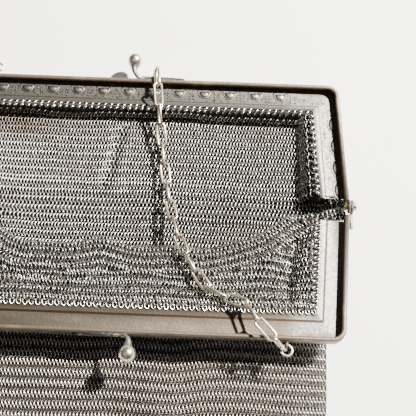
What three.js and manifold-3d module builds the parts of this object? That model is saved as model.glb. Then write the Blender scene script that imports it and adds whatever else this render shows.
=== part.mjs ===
// A metal mesh purse lying open on its back: two L-section frame halves on a pair of rivets, a flat
// ring-mesh bag laced to both, ball clasps, eyelets with jump rings, and a long-link chain.
// Millimetres, +Z up. The decorated half lies toward +Y, the plain half and the bag's foot toward -Y.
import * as THREE from "three";
import { mergeVertices } from "three/addons/utils/BufferGeometryUtils.js";
import Module from "manifold-3d";

// Frame halves, each an L-section swept round a U
const FRAME_WIDTH = 168; // over the side walls at the hinges
const BAR_WIDTH = 161.4; // over the side walls at a bar's corners
const FRAME_DEPTH = 53; // hinge axis to a bar's outer face
const CORNER_RADIUS = 5;
const INNER_CORNER_RADIUS = 0.6;
const SHEET = 0.8; // frame metal
const WALL_HEIGHT = 3.8; // rim over the flange's inner face
const BEAD_DIAMETER = 1.8; // rolled rim
const FLANGE_WIDTH = 10.8; // wall's outer face to the laced edge
const BEVEL_WIDTH = 2.4;
const BEVEL_RISE = 0.9;
const EDGE_CHAMFER = 0.5;
const ARM_SETBACK = 3.2; // hinge axis to the end of a side wall
const FLANGE_SETBACK = 4.6; // hinge axis to the end of a flange
const DECORATED_TILT = 5.2; // degrees that the decorated half slopes down from the hinge
const PLAIN_TILT = 8.7; // degrees that the plain half rises from the hinge
const BAR_LIFT = 4.8; // decorated bar over the table, where it lies on the chain

// Hinges
const EAR_RADIUS = 2.6;
const EAR_LENGTH = 8; // hinge axis to the soldered end of an ear
const EAR_GAP = 0.3;
const PIN_DIAMETER = 1.4;
const PIN_CLEARANCE = 0.3;
const PIN_HEAD_DIAMETER = 3.4;
const PIN_HEAD_HEIGHT = 0.9;

// Ball clasps
const CLASP_OFFSET = 2.9; // ball to the middle of its bar
const BALL_DIAMETER = 6.2;
const BALL_REACH = 7.4; // bar's outer face to the ball's centre
const BALL_LIFT = 0.8; // ball's centre over the rim
const NECK_DIAMETER = 1.7;
const NECK_FLARE = 3.4; // where the neck runs into the ball
const LEAF_LENGTH = 19; // the strip that is soldered to the wall
const LEAF_HEIGHT = 2.2;
const LEAF_THICKNESS = 0.9;
const LEAF_START = 1.6; // from the ball's middle, along the bar
const LEAF_SWELL = 0.65; // share of its height by which the strip bulges next to the ball
const LEAF_TIP = 0.15; // half of the strip's height at its thin end
const SOLDERED = 0.2; // how far soldered pieces are set into each other
// The neck from the strip to the ball: along the bar from the ball, out from the strip and up from its middle.
const NECK_PATH = [
  [3.4, -0.1, 0.3],
  [1.4, 0.2, 1.1],
  [0.2, 1.5, 2.2],
  [-0.05, 2.8, 2.3],
];

// Eyelets, jump rings and chain
const EYELET_OFFSET = 59.4; // from the middle of the bar
const EYELET_DIAMETER = 3.2;
const EYELET_WIRE = 0.8;
const EYELET_DROP = 1.9; // rim to the eyelet's middle
const EYELET_SINK = 0.15; // how far the eyelet is set into the wall
const RING_DIAMETER = 4.8;
const RING_WIRE = 0.9;
const LINK_WIDTH = 4;
const LINK_WIRE = 0.95;
const LINK_OVERLAP = 0.2; // how far neighbouring links' wires are set into each other
const LINK_CLEARANCE = 0.2; // between an end link and its jump ring
const CHAIN_LINKS = 29; // as long as fills the route, about 9.7 each

// Mesh bag
const MAIL = 1.2; // thickness of the ring mesh
const LACE_GAP = 0.5; // between the mesh and a flange, bridged by the lacing
const BAG_LENGTH = 115; // hinge axis to the foot
const BAG_WIDTH = 153;
const FOOT_WIDTH = 149;
const POUCH_HEIGHT = 5.9; // middle of the under sheet to the middle of the upper one
const SEAM_HEIGHT = 2.8; // side and foot seams over the table
const HINGE_SEAM_HEIGHT = 8;
const SEAM_INSET = 0.5; // the upper sheet's edge from the under sheet's
const SEAM_OVERLAP = 0.6; // how far the two sheets are set into each other along the seams
const ARM_SLOPE = 9; // width over which the mesh drops from an arm to the table
const BAR_SLOPE = 6;
const SEAM_SLOPE = 7;
const BULGE_SLOPE = 14; // width over which the upper sheet rounds down to the seams
const FOLD_OFFSET = 19.5; // hinge axis to the fold's crest, in the middle
const FOLD_FLAT = 36; // half of the width over which the crest runs straight
const FOLD_RADIUS = 2;
const FOLD_SIDE_RADIUS = 0.9;
const INNER_DIP = 3.4; // sag of the folded mesh below the plain half
const CREASE_HEIGHT = 1.5;

// Creases in the folded mesh, in shares: x of half the window's width, y from the fold to the bar,
// length of half the window, width of the window's depth, height of CREASE_HEIGHT; turn in degrees.
const CREASES = [
  { x: -0.72, y: 0.22, turn: 12, length: 0.3, width: 0.12, height: 1.0 },
  { x: -0.58, y: 0.52, turn: -24, length: 0.22, width: 0.1, height: -0.9 },
  { x: -0.35, y: 0.34, turn: -28, length: 0.26, width: 0.11, height: 1.0 },
  { x: -0.16, y: 0.62, turn: 8, length: 0.2, width: 0.1, height: -0.7 },
  { x: -0.02, y: 0.3, turn: 14, length: 0.24, width: 0.12, height: 0.8 },
  { x: 0.2, y: 0.5, turn: -16, length: 0.2, width: 0.1, height: -0.9 },
  { x: 0.44, y: 0.32, turn: 24, length: 0.26, width: 0.14, height: 1.1 },
  { x: 0.6, y: 0.62, turn: 52, length: 0.24, width: 0.12, height: 0.9 },
  { x: 0.8, y: 0.55, turn: 66, length: 0.34, width: 0.1, height: -1.6 },
];

// The chain's route between its two jump rings, a few chosen points with x, y, z and the turn in degrees
// about its own run. From the plain half it goes over the mesh and the decorated bar, and comes back to
// the other ring the plain way, under that bar.
const CHAIN_ROUTE = [
  [53.8, -52.1, 26.6, 0],
  [49.4, -47.6, 26.0, 0],
  [45.4, -41.0, 23.0, 0],
  [39.9, -37.9, 20.6, 0],
  [33.3, -37.0, 19.4, 0],
  [25.3, -27.4, 16.4, 0],
  [20.3, -19.0, 14.4, 0],
  [15.6, -4.5, 9.4, 0],
  [12.2, 10.8, 6.2, 0],
  [9.8, 26.6, 6.2, 0],
  [8.4, 37.0, 9.0, 15],
  [7.4, 47.4, 12.4, 30],
  [6.4, 55.8, 12.0, 30],
  [5.0, 55.4, 3.6, 60],
  [-1.6, 51.0, 2.5, 90],
  [-9.0, 47.6, 2.4, 90],
  [-30.0, 47.4, 2.4, 60],
  [-60.0, 47.4, 2.4, 20],
  [-68.0, 47.6, 2.4, 0],
  [-70.5, 53.0, 3.4, 0],
  [-67.5, 55.4, 5.0, 0],
];

const radians = THREE.MathUtils.degToRad;
const lerp = THREE.MathUtils.lerp;
const wasm = await Module();
wasm.setup();

// Booleans
function solidOf(geometry) {
  const bare = geometry.clone();
  bare.deleteAttribute("normal");
  bare.deleteAttribute("uv");
  const merged = mergeVertices(bare, 1e-4);
  return new wasm.Manifold(
    new wasm.Mesh({
      numProp: 3,
      vertProperties: merged.attributes.position.array,
      triVerts: new Uint32Array(merged.index.array),
    }),
  );
}

function geometryOf(solid) {
  const { vertProperties, triVerts } = solid.getMesh();
  const geometry = new THREE.BufferGeometry();
  geometry.setAttribute("position", new THREE.BufferAttribute(vertProperties, 3));
  geometry.setIndex(new THREE.BufferAttribute(triVerts, 1));
  geometry.computeVertexNormals();
  return geometry;
}

function joined(geometries) {
  return geometries.map(solidOf).reduce((all, next) => all.add(next));
}

// A closed body from points and triangles, turned to face out.
function closedBody(points, triangles) {
  let volume = 0;
  const cross = new THREE.Vector3();
  for (const [a, b, c] of triangles) volume += points[a].dot(cross.crossVectors(points[b], points[c]));
  const faces = volume < 0 ? triangles.map(([a, b, c]) => [a, c, b]) : triangles;
  const geometry = new THREE.BufferGeometry().setFromPoints(points);
  geometry.setIndex(faces.flat());
  return geometry;
}

// Quads between neighbouring loops of equal length, closed round each loop.
function bandTriangles(loops, size, wrap) {
  const triangles = [];
  const spans = wrap ? loops : loops - 1;
  for (let i = 0; i < spans; i++) {
    for (let j = 0; j < size; j++) {
      const next = (i + 1) % loops;
      const k = (j + 1) % size;
      triangles.push([i * size + j, i * size + k, next * size + k]);
      triangles.push([i * size + j, next * size + k, next * size + j]);
    }
  }
  return triangles;
}

// A body lofted through loops of points; both end loops are closed by triangles of the flat outline.
function loft(loops, outline) {
  const size = outline.length;
  const triangles = bandTriangles(loops.length, size, false);
  const last = (loops.length - 1) * size;
  for (const [a, b, c] of THREE.ShapeUtils.triangulateShape(outline, [])) {
    triangles.push([a, c, b], [last + a, last + b, last + c]);
  }
  return closedBody(loops.flat(), triangles);
}

// A round rod along points, with its own radius at each point.
function rod(points, radii, sides) {
  const frames = new THREE.CatmullRomCurve3(points);
  const circle = [];
  for (let j = 0; j < sides; j++) {
    const turn = (2 * Math.PI * j) / sides;
    circle.push(new THREE.Vector2(Math.cos(turn), Math.sin(turn)));
  }
  const loops = points.map((point, i) => {
    const along = frames.getTangent(i / (points.length - 1));
    const side = new THREE.Vector3(1, 0, 0).cross(along).normalize();
    const up = new THREE.Vector3().crossVectors(along, side);
    return circle.map(({ x, y }) =>
      point.clone().addScaledVector(side, x * radii[i]).addScaledVector(up, y * radii[i]));
  });
  return loft(loops, circle);
}

// A sheet of even thickness on a grid of middle points.
function sheetBody(grid, thickness) {
  const rows = grid.length;
  const columns = grid[0].length;
  const points = [];
  for (const side of [0.5, -0.5]) {
    for (let i = 0; i < rows; i++) {
      for (let j = 0; j < columns; j++) {
        const down = grid[Math.min(i + 1, rows - 1)][j].clone().sub(grid[Math.max(i - 1, 0)][j]);
        const across = grid[i][Math.min(j + 1, columns - 1)].clone().sub(grid[i][Math.max(j - 1, 0)]);
        const normal = down.cross(across).normalize();
        points.push(grid[i][j].clone().addScaledVector(normal, side * thickness));
      }
    }
  }
  const at = (side, i, j) => (side * rows + i) * columns + j;
  const triangles = [];
  for (let i = 0; i + 1 < rows; i++) {
    for (let j = 0; j + 1 < columns; j++) {
      for (const side of [0, 1]) {
        const [a, b, c, d] = [at(side, i, j), at(side, i, j + 1), at(side, i + 1, j + 1), at(side, i + 1, j)];
        triangles.push(...(side ? [[a, b, c], [a, c, d]] : [[a, c, b], [a, d, c]]));
      }
    }
  }
  const rim = [];
  for (let j = 0; j < columns - 1; j++) rim.push([0, j]);
  for (let i = 0; i < rows - 1; i++) rim.push([i, columns - 1]);
  for (let j = columns - 1; j > 0; j--) rim.push([rows - 1, j]);
  for (let i = rows - 1; i > 0; i--) rim.push([i, 0]);
  rim.forEach(([i, j], k) => {
    const [m, n] = rim[(k + 1) % rim.length];
    triangles.push([at(0, i, j), at(0, m, n), at(1, m, n)], [at(0, i, j), at(1, m, n), at(1, i, j)]);
  });
  return closedBody(points, triangles);
}

// Frame half, in its own frame: x across, y away from the hinge axis, z from the rim's top
const TOTAL_HEIGHT = WALL_HEIGHT + SHEET;
const HALF_WIDTH = FRAME_WIDTH / 2;
const ARM_SLANT = (FRAME_WIDTH - BAR_WIDTH) / 2 / FRAME_DEPTH;
const HINGE_HEIGHT = BAR_LIFT +
  FRAME_DEPTH * Math.sin(radians(DECORATED_TILT)) + TOTAL_HEIGHT * Math.cos(radians(DECORATED_TILT));

function armHalfWidth(depth) {
  return HALF_WIDTH - ARM_SLANT * depth;
}

function frameOutline() {
  const bead = BEAD_DIAMETER / 2;
  const flat = FLANGE_WIDTH - BEVEL_WIDTH;
  const outline = [
    [EDGE_CHAMFER, 0],
    [flat, 0],
    [FLANGE_WIDTH, BEVEL_RISE],
    [FLANGE_WIDTH, BEVEL_RISE + SHEET],
    [flat, SHEET],
    [SHEET, SHEET],
  ];
  const start = Math.acos((SHEET - bead) / bead) * -1;
  const steps = 6;
  for (let k = 0; k <= steps; k++) {
    const turn = lerp(start, Math.PI, k / steps);
    outline.push([bead + bead * Math.cos(turn), TOTAL_HEIGHT - bead + bead * Math.sin(turn)]);
  }
  outline.push([0, EDGE_CHAMFER]);
  return outline.map(([x, y]) => new THREE.Vector2(x, y - TOTAL_HEIGHT));
}

// One outline point carried round the U, from the left arm's end to the right arm's end.
function framePath(inward) {
  const across = new THREE.Vector2(1, ARM_SLANT).normalize(); // outward normal of the right arm
  const path = [];
  const armX = (depth) => armHalfWidth(depth) - inward / across.x;
  const barY = FRAME_DEPTH - inward;
  const radius = Math.max(CORNER_RADIUS - inward, INNER_CORNER_RADIUS);
  const centreY = barY - radius;
  const centreX = armX(centreY) - radius / across.x;
  const arc = 5;
  const tilt = Math.atan2(across.y, across.x);
  path.push([armX(ARM_SETBACK), ARM_SETBACK]);
  for (let k = 0; k <= arc; k++) {
    const turn = lerp(tilt, Math.PI / 2, k / arc);
    path.push([centreX + radius * Math.cos(turn), centreY + radius * Math.sin(turn)]);
  }
  const left = path.map(([x, y]) => [-x, y]);
  return [...left, ...path.reverse()];
}

function sweptFrame() {
  const outline = frameOutline();
  const paths = outline.map(({ x }) => framePath(x));
  const loops = paths[0].map((_, i) =>
    outline.map(({ y }, j) => new THREE.Vector3(paths[j][i][0], paths[j][i][1], y)));
  return loft(loops, outline);
}

// Box from its ranges along x, y and z.
function block([x0, x1], [y0, y1], [z0, z1]) {
  const geometry = new THREE.BoxGeometry(x1 - x0, y1 - y0, z1 - z0);
  return geometry.translate((x0 + x1) / 2, (y0 + y1) / 2, (z0 + z1) / 2);
}

// Plate in a plane across x: shape x becomes y, shape y becomes z.
function sidePlate(shape, thickness, x) {
  const geometry = new THREE.ExtrudeGeometry(shape, { depth: thickness, bevelEnabled: false, curveSegments: 9 });
  const basis = new THREE.Matrix4().makeBasis(
    new THREE.Vector3(0, 1, 0), new THREE.Vector3(0, 0, 1), new THREE.Vector3(1, 0, 0));
  return geometry.applyMatrix4(basis).translate(x, 0, 0);
}

const EAR_TOP = -BEAD_DIAMETER / 2;
const EAR_BOTTOM = -TOTAL_HEIGHT + SHEET + SOLDERED;
const INNER_EAR_X = armHalfWidth(EAR_LENGTH) - SHEET / 2;

function earPlate(x, thickness) {
  const shape = new THREE.Shape();
  const rise = Math.asin(-EAR_TOP / EAR_RADIUS);
  shape.moveTo(EAR_LENGTH, EAR_BOTTOM);
  shape.lineTo(EAR_LENGTH, EAR_TOP);
  shape.absarc(0, 0, EAR_RADIUS, -rise, (3 * Math.PI) / 2, false);
  shape.lineTo(ARM_SETBACK, EAR_BOTTOM);
  const hole = new THREE.Path();
  hole.absarc(0, 0, PIN_DIAMETER / 2 + PIN_CLEARANCE, 0, 2 * Math.PI, true);
  shape.holes.push(hole);
  return sidePlate(shape, thickness, x);
}

// The decorated half's ears lie in its walls, the plain half's one gap further out.
const OUTER_EAR_X = INNER_EAR_X + SHEET + EAR_GAP;

function ears(outer) {
  const pieces = [];
  for (const side of [1, -1]) {
    const start = outer ? OUTER_EAR_X : INNER_EAR_X;
    pieces.push(earPlate(side > 0 ? start : -start - SHEET, SHEET));
    if (outer) {
      const range = [armHalfWidth(EAR_LENGTH) - SHEET / 2, start + SHEET / 2].map((x) => side * x);
      const clear = EAR_RADIUS + 2 * EAR_GAP;
      pieces.push(block(range.sort((a, b) => a - b), [clear, EAR_LENGTH - 0.3], [EAR_BOTTOM + 0.2, EAR_TOP - 0.1]));
    }
  }
  return pieces;
}

function claspPieces() {
  const radius = BALL_DIAMETER / 2;
  const ball = new THREE.SphereGeometry(radius, 16, 10);
  ball.translate(-CLASP_OFFSET, FRAME_DEPTH + BALL_REACH, BALL_LIFT);
  const leafZ = -LEAF_HEIGHT / 2 - SOLDERED;
  const base = FRAME_DEPTH + LEAF_THICKNESS / 2;
  const neck = NECK_PATH.map(([along, out, up]) => new THREE.Vector3(along - CLASP_OFFSET, base + out, leafZ + up));
  neck.push(new THREE.Vector3(-CLASP_OFFSET, FRAME_DEPTH + BALL_REACH - radius + 3 * SOLDERED, BALL_LIFT));
  const slim = NECK_DIAMETER / 2;
  const radii = [slim * 0.7, slim, slim, lerp(slim, NECK_FLARE / 2, 0.45), NECK_FLARE / 2];
  const leaf = new THREE.Shape();
  const start = -CLASP_OFFSET + LEAF_START;
  const end = start + LEAF_LENGTH;
  const swell = LEAF_HEIGHT * LEAF_SWELL;
  const root = LEAF_HEIGHT - swell;
  leaf.moveTo(start, leafZ - root);
  leaf.quadraticCurveTo(lerp(start, end, 0.3), leafZ - swell, end, leafZ - LEAF_TIP);
  leaf.lineTo(end, leafZ + LEAF_TIP);
  leaf.quadraticCurveTo(lerp(start, end, 0.3), leafZ + swell, start, leafZ + root);
  const strip = new THREE.ExtrudeGeometry(leaf, { depth: LEAF_THICKNESS + SOLDERED, bevelEnabled: false, curveSegments: 8 });
  strip.applyMatrix4(new THREE.Matrix4().makeBasis(
    new THREE.Vector3(1, 0, 0), new THREE.Vector3(0, 0, 1), new THREE.Vector3(0, -1, 0)));
  strip.translate(0, FRAME_DEPTH + LEAF_THICKNESS, 0);
  return [ball, rod(neck, radii, 10), strip];
}

// Each half has one eyelet, for the chain's end, on its wall.
const EYELET_MEAN = (EYELET_DIAMETER - EYELET_WIRE) / 2;
const EYELET_REACH = EYELET_MEAN + EYELET_WIRE / 2 - EYELET_SINK;

function eyelet() {
  const torus = new THREE.TorusGeometry(EYELET_MEAN, EYELET_WIRE / 2, 6, 12);
  torus.rotateY(Math.PI / 2);
  return torus.translate(-EYELET_OFFSET, FRAME_DEPTH + EYELET_REACH, -EYELET_DROP);
}

function frameHalf(outerEars) {
  let half = solidOf(sweptFrame());
  const wallX = armHalfWidth(0) - BEAD_DIAMETER - 0.2;
  const cut = block([-wallX, wallX], [0, FLANGE_SETBACK], [-TOTAL_HEIGHT - 1, -BEAD_DIAMETER - 0.6]);
  half = half.subtract(solidOf(cut));
  return half.add(joined([...ears(outerEars), ...claspPieces(), eyelet()]));
}

// A group that stands on the hinge axis, turned and tilted as one half lies.
function halfPlacement(turn, tilt) {
  const place = new THREE.Group();
  place.position.z = HINGE_HEIGHT;
  place.rotation.x = radians(tilt);
  const turned = new THREE.Group();
  turned.rotation.z = turn;
  place.add(turned);
  return { place, turned };
}

// Height of a frame half's laced edge above the table, at y from the hinge axis.
const LACED_DROP = TOTAL_HEIGHT - BEVEL_RISE - SHEET / 2;

function lacedPlane(tilt, depth) {
  const rise = Math.tan(radians(tilt));
  return HINGE_HEIGHT + depth * rise - LACED_DROP / Math.cos(radians(tilt));
}

function windowHalf(depth) {
  return armHalfWidth(depth) - FLANGE_WIDTH * Math.hypot(1, ARM_SLANT) - LACE_GAP;
}

const clamp01 = (t) => THREE.MathUtils.clamp(t, 0, 1);
const smooth = (t) => clamp01(t) ** 2 * (3 - 2 * clamp01(t));
const WINDOW_DEPTH = FRAME_DEPTH - FLANGE_WIDTH - LACE_GAP;
const UNDER_MIDDLE = MAIL / 2;
const UPPER_MIDDLE = UNDER_MIDDLE + POUCH_HEIGHT;
const HINGE_HALF = windowHalf(0);
const DECORATED_EDGE = WINDOW_DEPTH * Math.cos(radians(DECORATED_TILT)) - LACED_DROP * Math.sin(radians(DECORATED_TILT));
const PLAIN_EDGE = WINDOW_DEPTH * Math.cos(radians(PLAIN_TILT)) + LACED_DROP * Math.sin(radians(PLAIN_TILT));

// Half the mesh's width at y: the decorated window above the hinge axis, the bag's body below it.
function sheetHalf(y) {
  if (y > 0) return windowHalf(y);
  const body = lerp(HINGE_HALF, BAG_WIDTH / 2, smooth(-y / (BAG_LENGTH * 0.35)));
  return body - ((BAG_WIDTH - FOOT_WIDTH) / 2) * smooth((-y / BAG_LENGTH - 0.6) / 0.4);
}

// Side seam's height: at the hinge it is carried up to the frame.
function seamHeight(y) {
  const hinge = lerp(SEAM_HEIGHT, HINGE_SEAM_HEIGHT, smooth(1 + y / (1.5 * FOLD_OFFSET)));
  return lerp(hinge, lacedPlane(-DECORATED_TILT, y), smooth(y / FLANGE_SETBACK));
}

// 1 at a laced edge, level for a quarter of the slope and then down to 0.
function drop(distance, slope) {
  return 1 - smooth((distance / slope - 0.2) / 0.8);
}

function underPoint(v, y) {
  const half = sheetHalf(y);
  const x = v * half;
  const side = half - Math.abs(x);
  const atBar = drop(DECORATED_EDGE - y, BAR_SLOPE);
  const atArm = lerp(drop(side, SEAM_SLOPE), drop(side, ARM_SLOPE), smooth(y / FLANGE_SETBACK));
  const atFoot = drop(y + BAG_LENGTH, SEAM_SLOPE);
  const hold = 1 - (1 - atBar) * (1 - atArm) * (1 - atFoot);
  const edge = y > 0 ? seamHeight(y) : seamHeight(y) - SEAM_OVERLAP / 2;
  return new THREE.Vector3(x, y, UNDER_MIDDLE + (edge - UNDER_MIDDLE) * hold);
}

function underSheet() {
  const grid = [];
  const windowRows = 9;
  const bodyRows = 10;
  for (let i = 0; i < windowRows; i++) {
    grid.push(DECORATED_EDGE * (1 - (i / windowRows) ** 1.35));
  }
  for (let i = 0; i <= bodyRows; i++) {
    const t = i / bodyRows;
    grid.push(-BAG_LENGTH * (t + 0.045 * Math.sin(2 * Math.PI * t)));
  }
  return sheetBody(grid.map((y) => acrossRow().map((v) => underPoint(v, y))), MAIL);
}

// Shares across the mesh, closer together toward the sides.
function acrossRow() {
  const columns = 20;
  return Array.from({ length: columns + 1 }, (_, j) => Math.sin((Math.PI / 2) * (2 * j / columns - 1)));
}

// How far the fold's crest lies below the hinge axis.
function foldOffset(x) {
  const side = smooth((Math.abs(x) - FOLD_FLAT) / (HINGE_HALF - FOLD_FLAT));
  return FOLD_OFFSET * (1 - 0.95 * side) + (1 - side) * 1.1 * Math.sin(x / 9);
}

function foldRadius(v) {
  return lerp(FOLD_RADIUS, FOLD_SIDE_RADIUS, v ** 4);
}

function lowerRunPoint(v, y) {
  const half = sheetHalf(y) - SEAM_INSET;
  const x = v * half;
  const bulge = (distance) => (1 - clamp01(distance / BULGE_SLOPE)) ** 2;
  const atSide = bulge(half - Math.abs(x));
  const atFoot = bulge(y + BAG_LENGTH - SEAM_INSET);
  const edge = seamHeight(y) + SEAM_OVERLAP / 2;
  const held = lerp(UPPER_MIDDLE, edge, 1 - (1 - atSide) * (1 - atFoot));
  return new THREE.Vector3(x, y, held);
}

function creaseHeight(x, share) {
  const half = HINGE_HALF;
  let height = 0;
  for (const crease of CREASES) {
    const turn = radians(crease.turn);
    const dx = x - crease.x * half;
    const dy = (crease.y - share) * WINDOW_DEPTH * 0.55;
    const along = (dx * Math.cos(turn) + dy * Math.sin(turn)) / (crease.length * half);
    const across = (dy * Math.cos(turn) - dx * Math.sin(turn)) / (crease.width * WINDOW_DEPTH);
    height += crease.height * CREASE_HEIGHT * Math.exp(-(along ** 2) - across ** 2);
  }
  return height;
}

// The folded run, from the crest back to the plain half's bar.
function topRunPoint(v, share) {
  const startY = -foldOffset(v * HINGE_HALF);
  const start = lowerRunPoint(v, startY);
  const y = lerp(startY, -PLAIN_EDGE, share);
  const x = v * lerp(sheetHalf(startY), windowHalf(WINDOW_DEPTH), share);
  const plane = lacedPlane(PLAIN_TILT, -y);
  const side = windowHalf(-y) - Math.abs(x);
  const sag = (1 - drop(side, 1.3 * ARM_SLOPE)) * (1 - drop(y + PLAIN_EDGE, 2 * BAR_SLOPE));
  const free = sag * smooth(share / 0.12);
  const settled = plane - INNER_DIP * sag + creaseHeight(x, share) * free;
  const crest = start.z + 2 * foldRadius(v);
  return new THREE.Vector3(x, y, lerp(crest, settled, smooth(share / 0.35)));
}

function upperSheet() {
  const grid = [];
  const lowerRows = 10;
  const noseRows = 3;
  const topRows = 10;
  for (let i = 0; i <= lowerRows; i++) {
    const t = (i / lowerRows) ** 1.3;
    grid.push(acrossRow().map((v) => lowerRunPoint(v, lerp(SEAM_INSET - BAG_LENGTH, -foldOffset(v * HINGE_HALF), t))));
  }
  const crest = grid[lowerRows];
  for (let i = 1; i <= noseRows; i++) {
    const turn = (Math.PI * i) / (noseRows + 1);
    grid.push(acrossRow().map((v, j) => {
      const radius = foldRadius(v);
      return crest[j].clone().add(
        new THREE.Vector3(0, radius * Math.sin(turn), radius * (1 - Math.cos(turn))));
    }));
  }
  for (let i = 0; i <= topRows; i++) {
    grid.push(acrossRow().map((v) => topRunPoint(v, i / topRows)));
  }
  return sheetBody(grid, MAIL);
}

// Jump rings and chain
const RING_MEAN = (RING_DIAMETER - RING_WIRE) / 2;
const LINK_MEAN = (LINK_WIDTH - LINK_WIRE) / 2;

function ringPlacement() {
  return new THREE.Vector3(-EYELET_OFFSET, FRAME_DEPTH + EYELET_REACH + RING_MEAN, -EYELET_DROP);
}

function linkBody(from, to, turn) {
  const reach = from.distanceTo(to) / 2 + (LINK_WIRE - LINK_OVERLAP) / 2;
  const straight = reach - LINK_MEAN;
  const bend = 4;
  const sides = 5;
  const loops = [];
  for (const end of [1, -1]) {
    for (let k = 0; k <= bend; k++) {
      const round = Math.PI * (k / bend - 0.5) + (end > 0 ? 0 : Math.PI);
      loops.push(Array.from({ length: sides }, (_, j) => {
        const around = (2 * Math.PI * (j + 0.5)) / sides;
        const out = LINK_MEAN + (LINK_WIRE / 2) * Math.cos(around);
        return new THREE.Vector3(
          end * straight + out * Math.cos(round), out * Math.sin(round), (LINK_WIRE / 2) * Math.sin(around));
      }));
    }
  }
  const body = closedBody(loops.flat(), bandTriangles(loops.length, sides, true));
  const along = to.clone().sub(from).normalize();
  const level = new THREE.Vector3(0, 0, 1).cross(along).normalize();
  const lift = new THREE.Vector3().crossVectors(along, level);
  const basis = new THREE.Matrix4().makeBasis(along, level, lift).multiply(
    new THREE.Matrix4().makeRotationX(turn));
  basis.setPosition(from.clone().add(to).multiplyScalar(0.5));
  return body.applyMatrix4(basis);
}

// Where an end link's joint lies: inside its ring's wire, on the side that faces the next point.
function ringJoint(ring, next) {
  const centre = ring.getWorldPosition(new THREE.Vector3());
  const toNext = next.clone().sub(centre);
  const normal = new THREE.Vector3(0, 0, 1).transformDirection(ring.matrixWorld);
  const outward = toNext.clone().projectOnPlane(normal).normalize();
  const wire = centre.addScaledVector(outward, RING_MEAN);
  const inside = (RING_WIRE + LINK_OVERLAP) / 2 + LINK_CLEARANCE;
  return wire.addScaledVector(next.clone().sub(wire).normalize(), -inside);
}

// Joints between the links: points at equal distances in a straight line, walked along the route.
function chainJoints(firstRing, lastRing) {
  const chosen = CHAIN_ROUTE.map(([x, y, z]) => new THREE.Vector3(x, y, z));
  const first = ringJoint(firstRing, chosen[0]);
  const last = ringJoint(lastRing, chosen.at(-1));
  const route = new THREE.CatmullRomCurve3([first, ...chosen, last], false, "centripetal");
  const samples = route.getPoints(3000);
  let joints = [];
  let [shortest, longest] = [LINK_WIDTH, 3 * LINK_WIDTH];
  for (let tries = 0; tries < 20; tries++) {
    const pitch = (shortest + longest) / 2;
    joints = [first];
    for (const point of samples) {
      if (joints.length < CHAIN_LINKS && point.distanceTo(joints.at(-1)) >= pitch) joints.push(point);
    }
    const fills = joints.length < CHAIN_LINKS || joints.at(-1).distanceTo(last) < pitch;
    if (fills) longest = pitch;
    else shortest = pitch;
  }
  return [...joints, last];
}

// The route's own turn at the place nearest to a point, between the chosen points.
function chainTurn(place) {
  let best = { distance: Infinity, turn: 0 };
  CHAIN_ROUTE.slice(1).forEach(([x, y, z, turn], i) => {
    const [x0, y0, z0, turn0] = CHAIN_ROUTE[i];
    const span = new THREE.Line3(new THREE.Vector3(x0, y0, z0), new THREE.Vector3(x, y, z));
    const share = span.closestPointToPointParameter(place, true);
    const distance = span.at(share, new THREE.Vector3()).distanceTo(place);
    if (distance < best.distance) best = { distance, turn: lerp(turn0, turn, share) };
  });
  return best.turn;
}

function chain(firstRing, lastRing) {
  const joints = chainJoints(firstRing, lastRing);
  return joined(joints.slice(1).map((joint, i) => {
    const middle = joints[i].clone().add(joint).multiplyScalar(0.5);
    return linkBody(joints[i], joint, radians(chainTurn(middle) + (i % 2 === 0 ? 90 : 0)));
  }));
}

// Hinge rivets
function hingePin(side) {
  const inner = INNER_EAR_X - EAR_GAP;
  const outer = OUTER_EAR_X + SHEET + EAR_GAP;
  const head = PIN_HEAD_DIAMETER / 2;
  const shank = PIN_DIAMETER / 2;
  const profile = [
    [0, inner - PIN_HEAD_HEIGHT],
    [head * 0.7, inner - PIN_HEAD_HEIGHT],
    [head, inner - PIN_HEAD_HEIGHT * 0.4],
    [head, inner],
    [shank, inner],
    [shank, outer],
    [head, outer],
    [head, outer + PIN_HEAD_HEIGHT * 0.4],
    [head * 0.7, outer + PIN_HEAD_HEIGHT],
    [0, outer + PIN_HEAD_HEIGHT],
  ].map(([x, y]) => new THREE.Vector2(x, y));
  const geometry = new THREE.LatheGeometry(profile, 12);
  geometry.rotateZ(-Math.PI / 2);
  if (side < 0) geometry.rotateZ(Math.PI);
  return solidOf(geometry);
}

// Materials
const silver = new THREE.MeshStandardMaterial({ color: 0xb9b2a4, roughness: 0.32, metalness: 1 });
const matteSilver = new THREE.MeshStandardMaterial({ color: 0xa79f90, roughness: 0.48, metalness: 1 });
const mailSilver = new THREE.MeshStandardMaterial({ color: 0x9c968b, roughness: 0.38, metalness: 1 });

function part(name, solid, material) {
  const mesh = new THREE.Mesh(geometryOf(solid), material);
  mesh.name = name;
  return mesh;
}

function jumpRing(name) {
  const torus = new THREE.TorusGeometry(RING_MEAN, RING_WIRE / 2, 6, 14);
  const ring = part(name, solidOf(torus), silver);
  ring.position.copy(ringPlacement());
  return ring;
}

const purse = new THREE.Group();
const decorated = halfPlacement(0, -DECORATED_TILT);
const decoratedRing = jumpRing("decorated_jump_ring");
decorated.turned.add(part("decorated_frame", frameHalf(false), matteSilver), decoratedRing);
const plain = halfPlacement(Math.PI, -PLAIN_TILT);
const plainRing = jumpRing("plain_jump_ring");
plain.turned.add(part("plain_frame", frameHalf(true), matteSilver), plainRing);
purse.add(decorated.place, plain.place);
purse.updateMatrixWorld(true);
purse.add(part("mesh_bag", joined([underSheet(), upperSheet()]), mailSilver));
purse.add(part("chain", chain(plainRing, decoratedRing), silver));
for (const [name, side] of [["right_hinge_pin", 1], ["left_hinge_pin", -1]]) {
  const pin = part(name, hingePin(side), silver);
  pin.position.z = HINGE_HEIGHT;
  purse.add(pin);
}

export default purse;
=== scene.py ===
"""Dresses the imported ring-mesh purse: ring mail, lacing, pressed ornament, chain, worn silver and stage."""

import math
from contextlib import contextmanager

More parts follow.
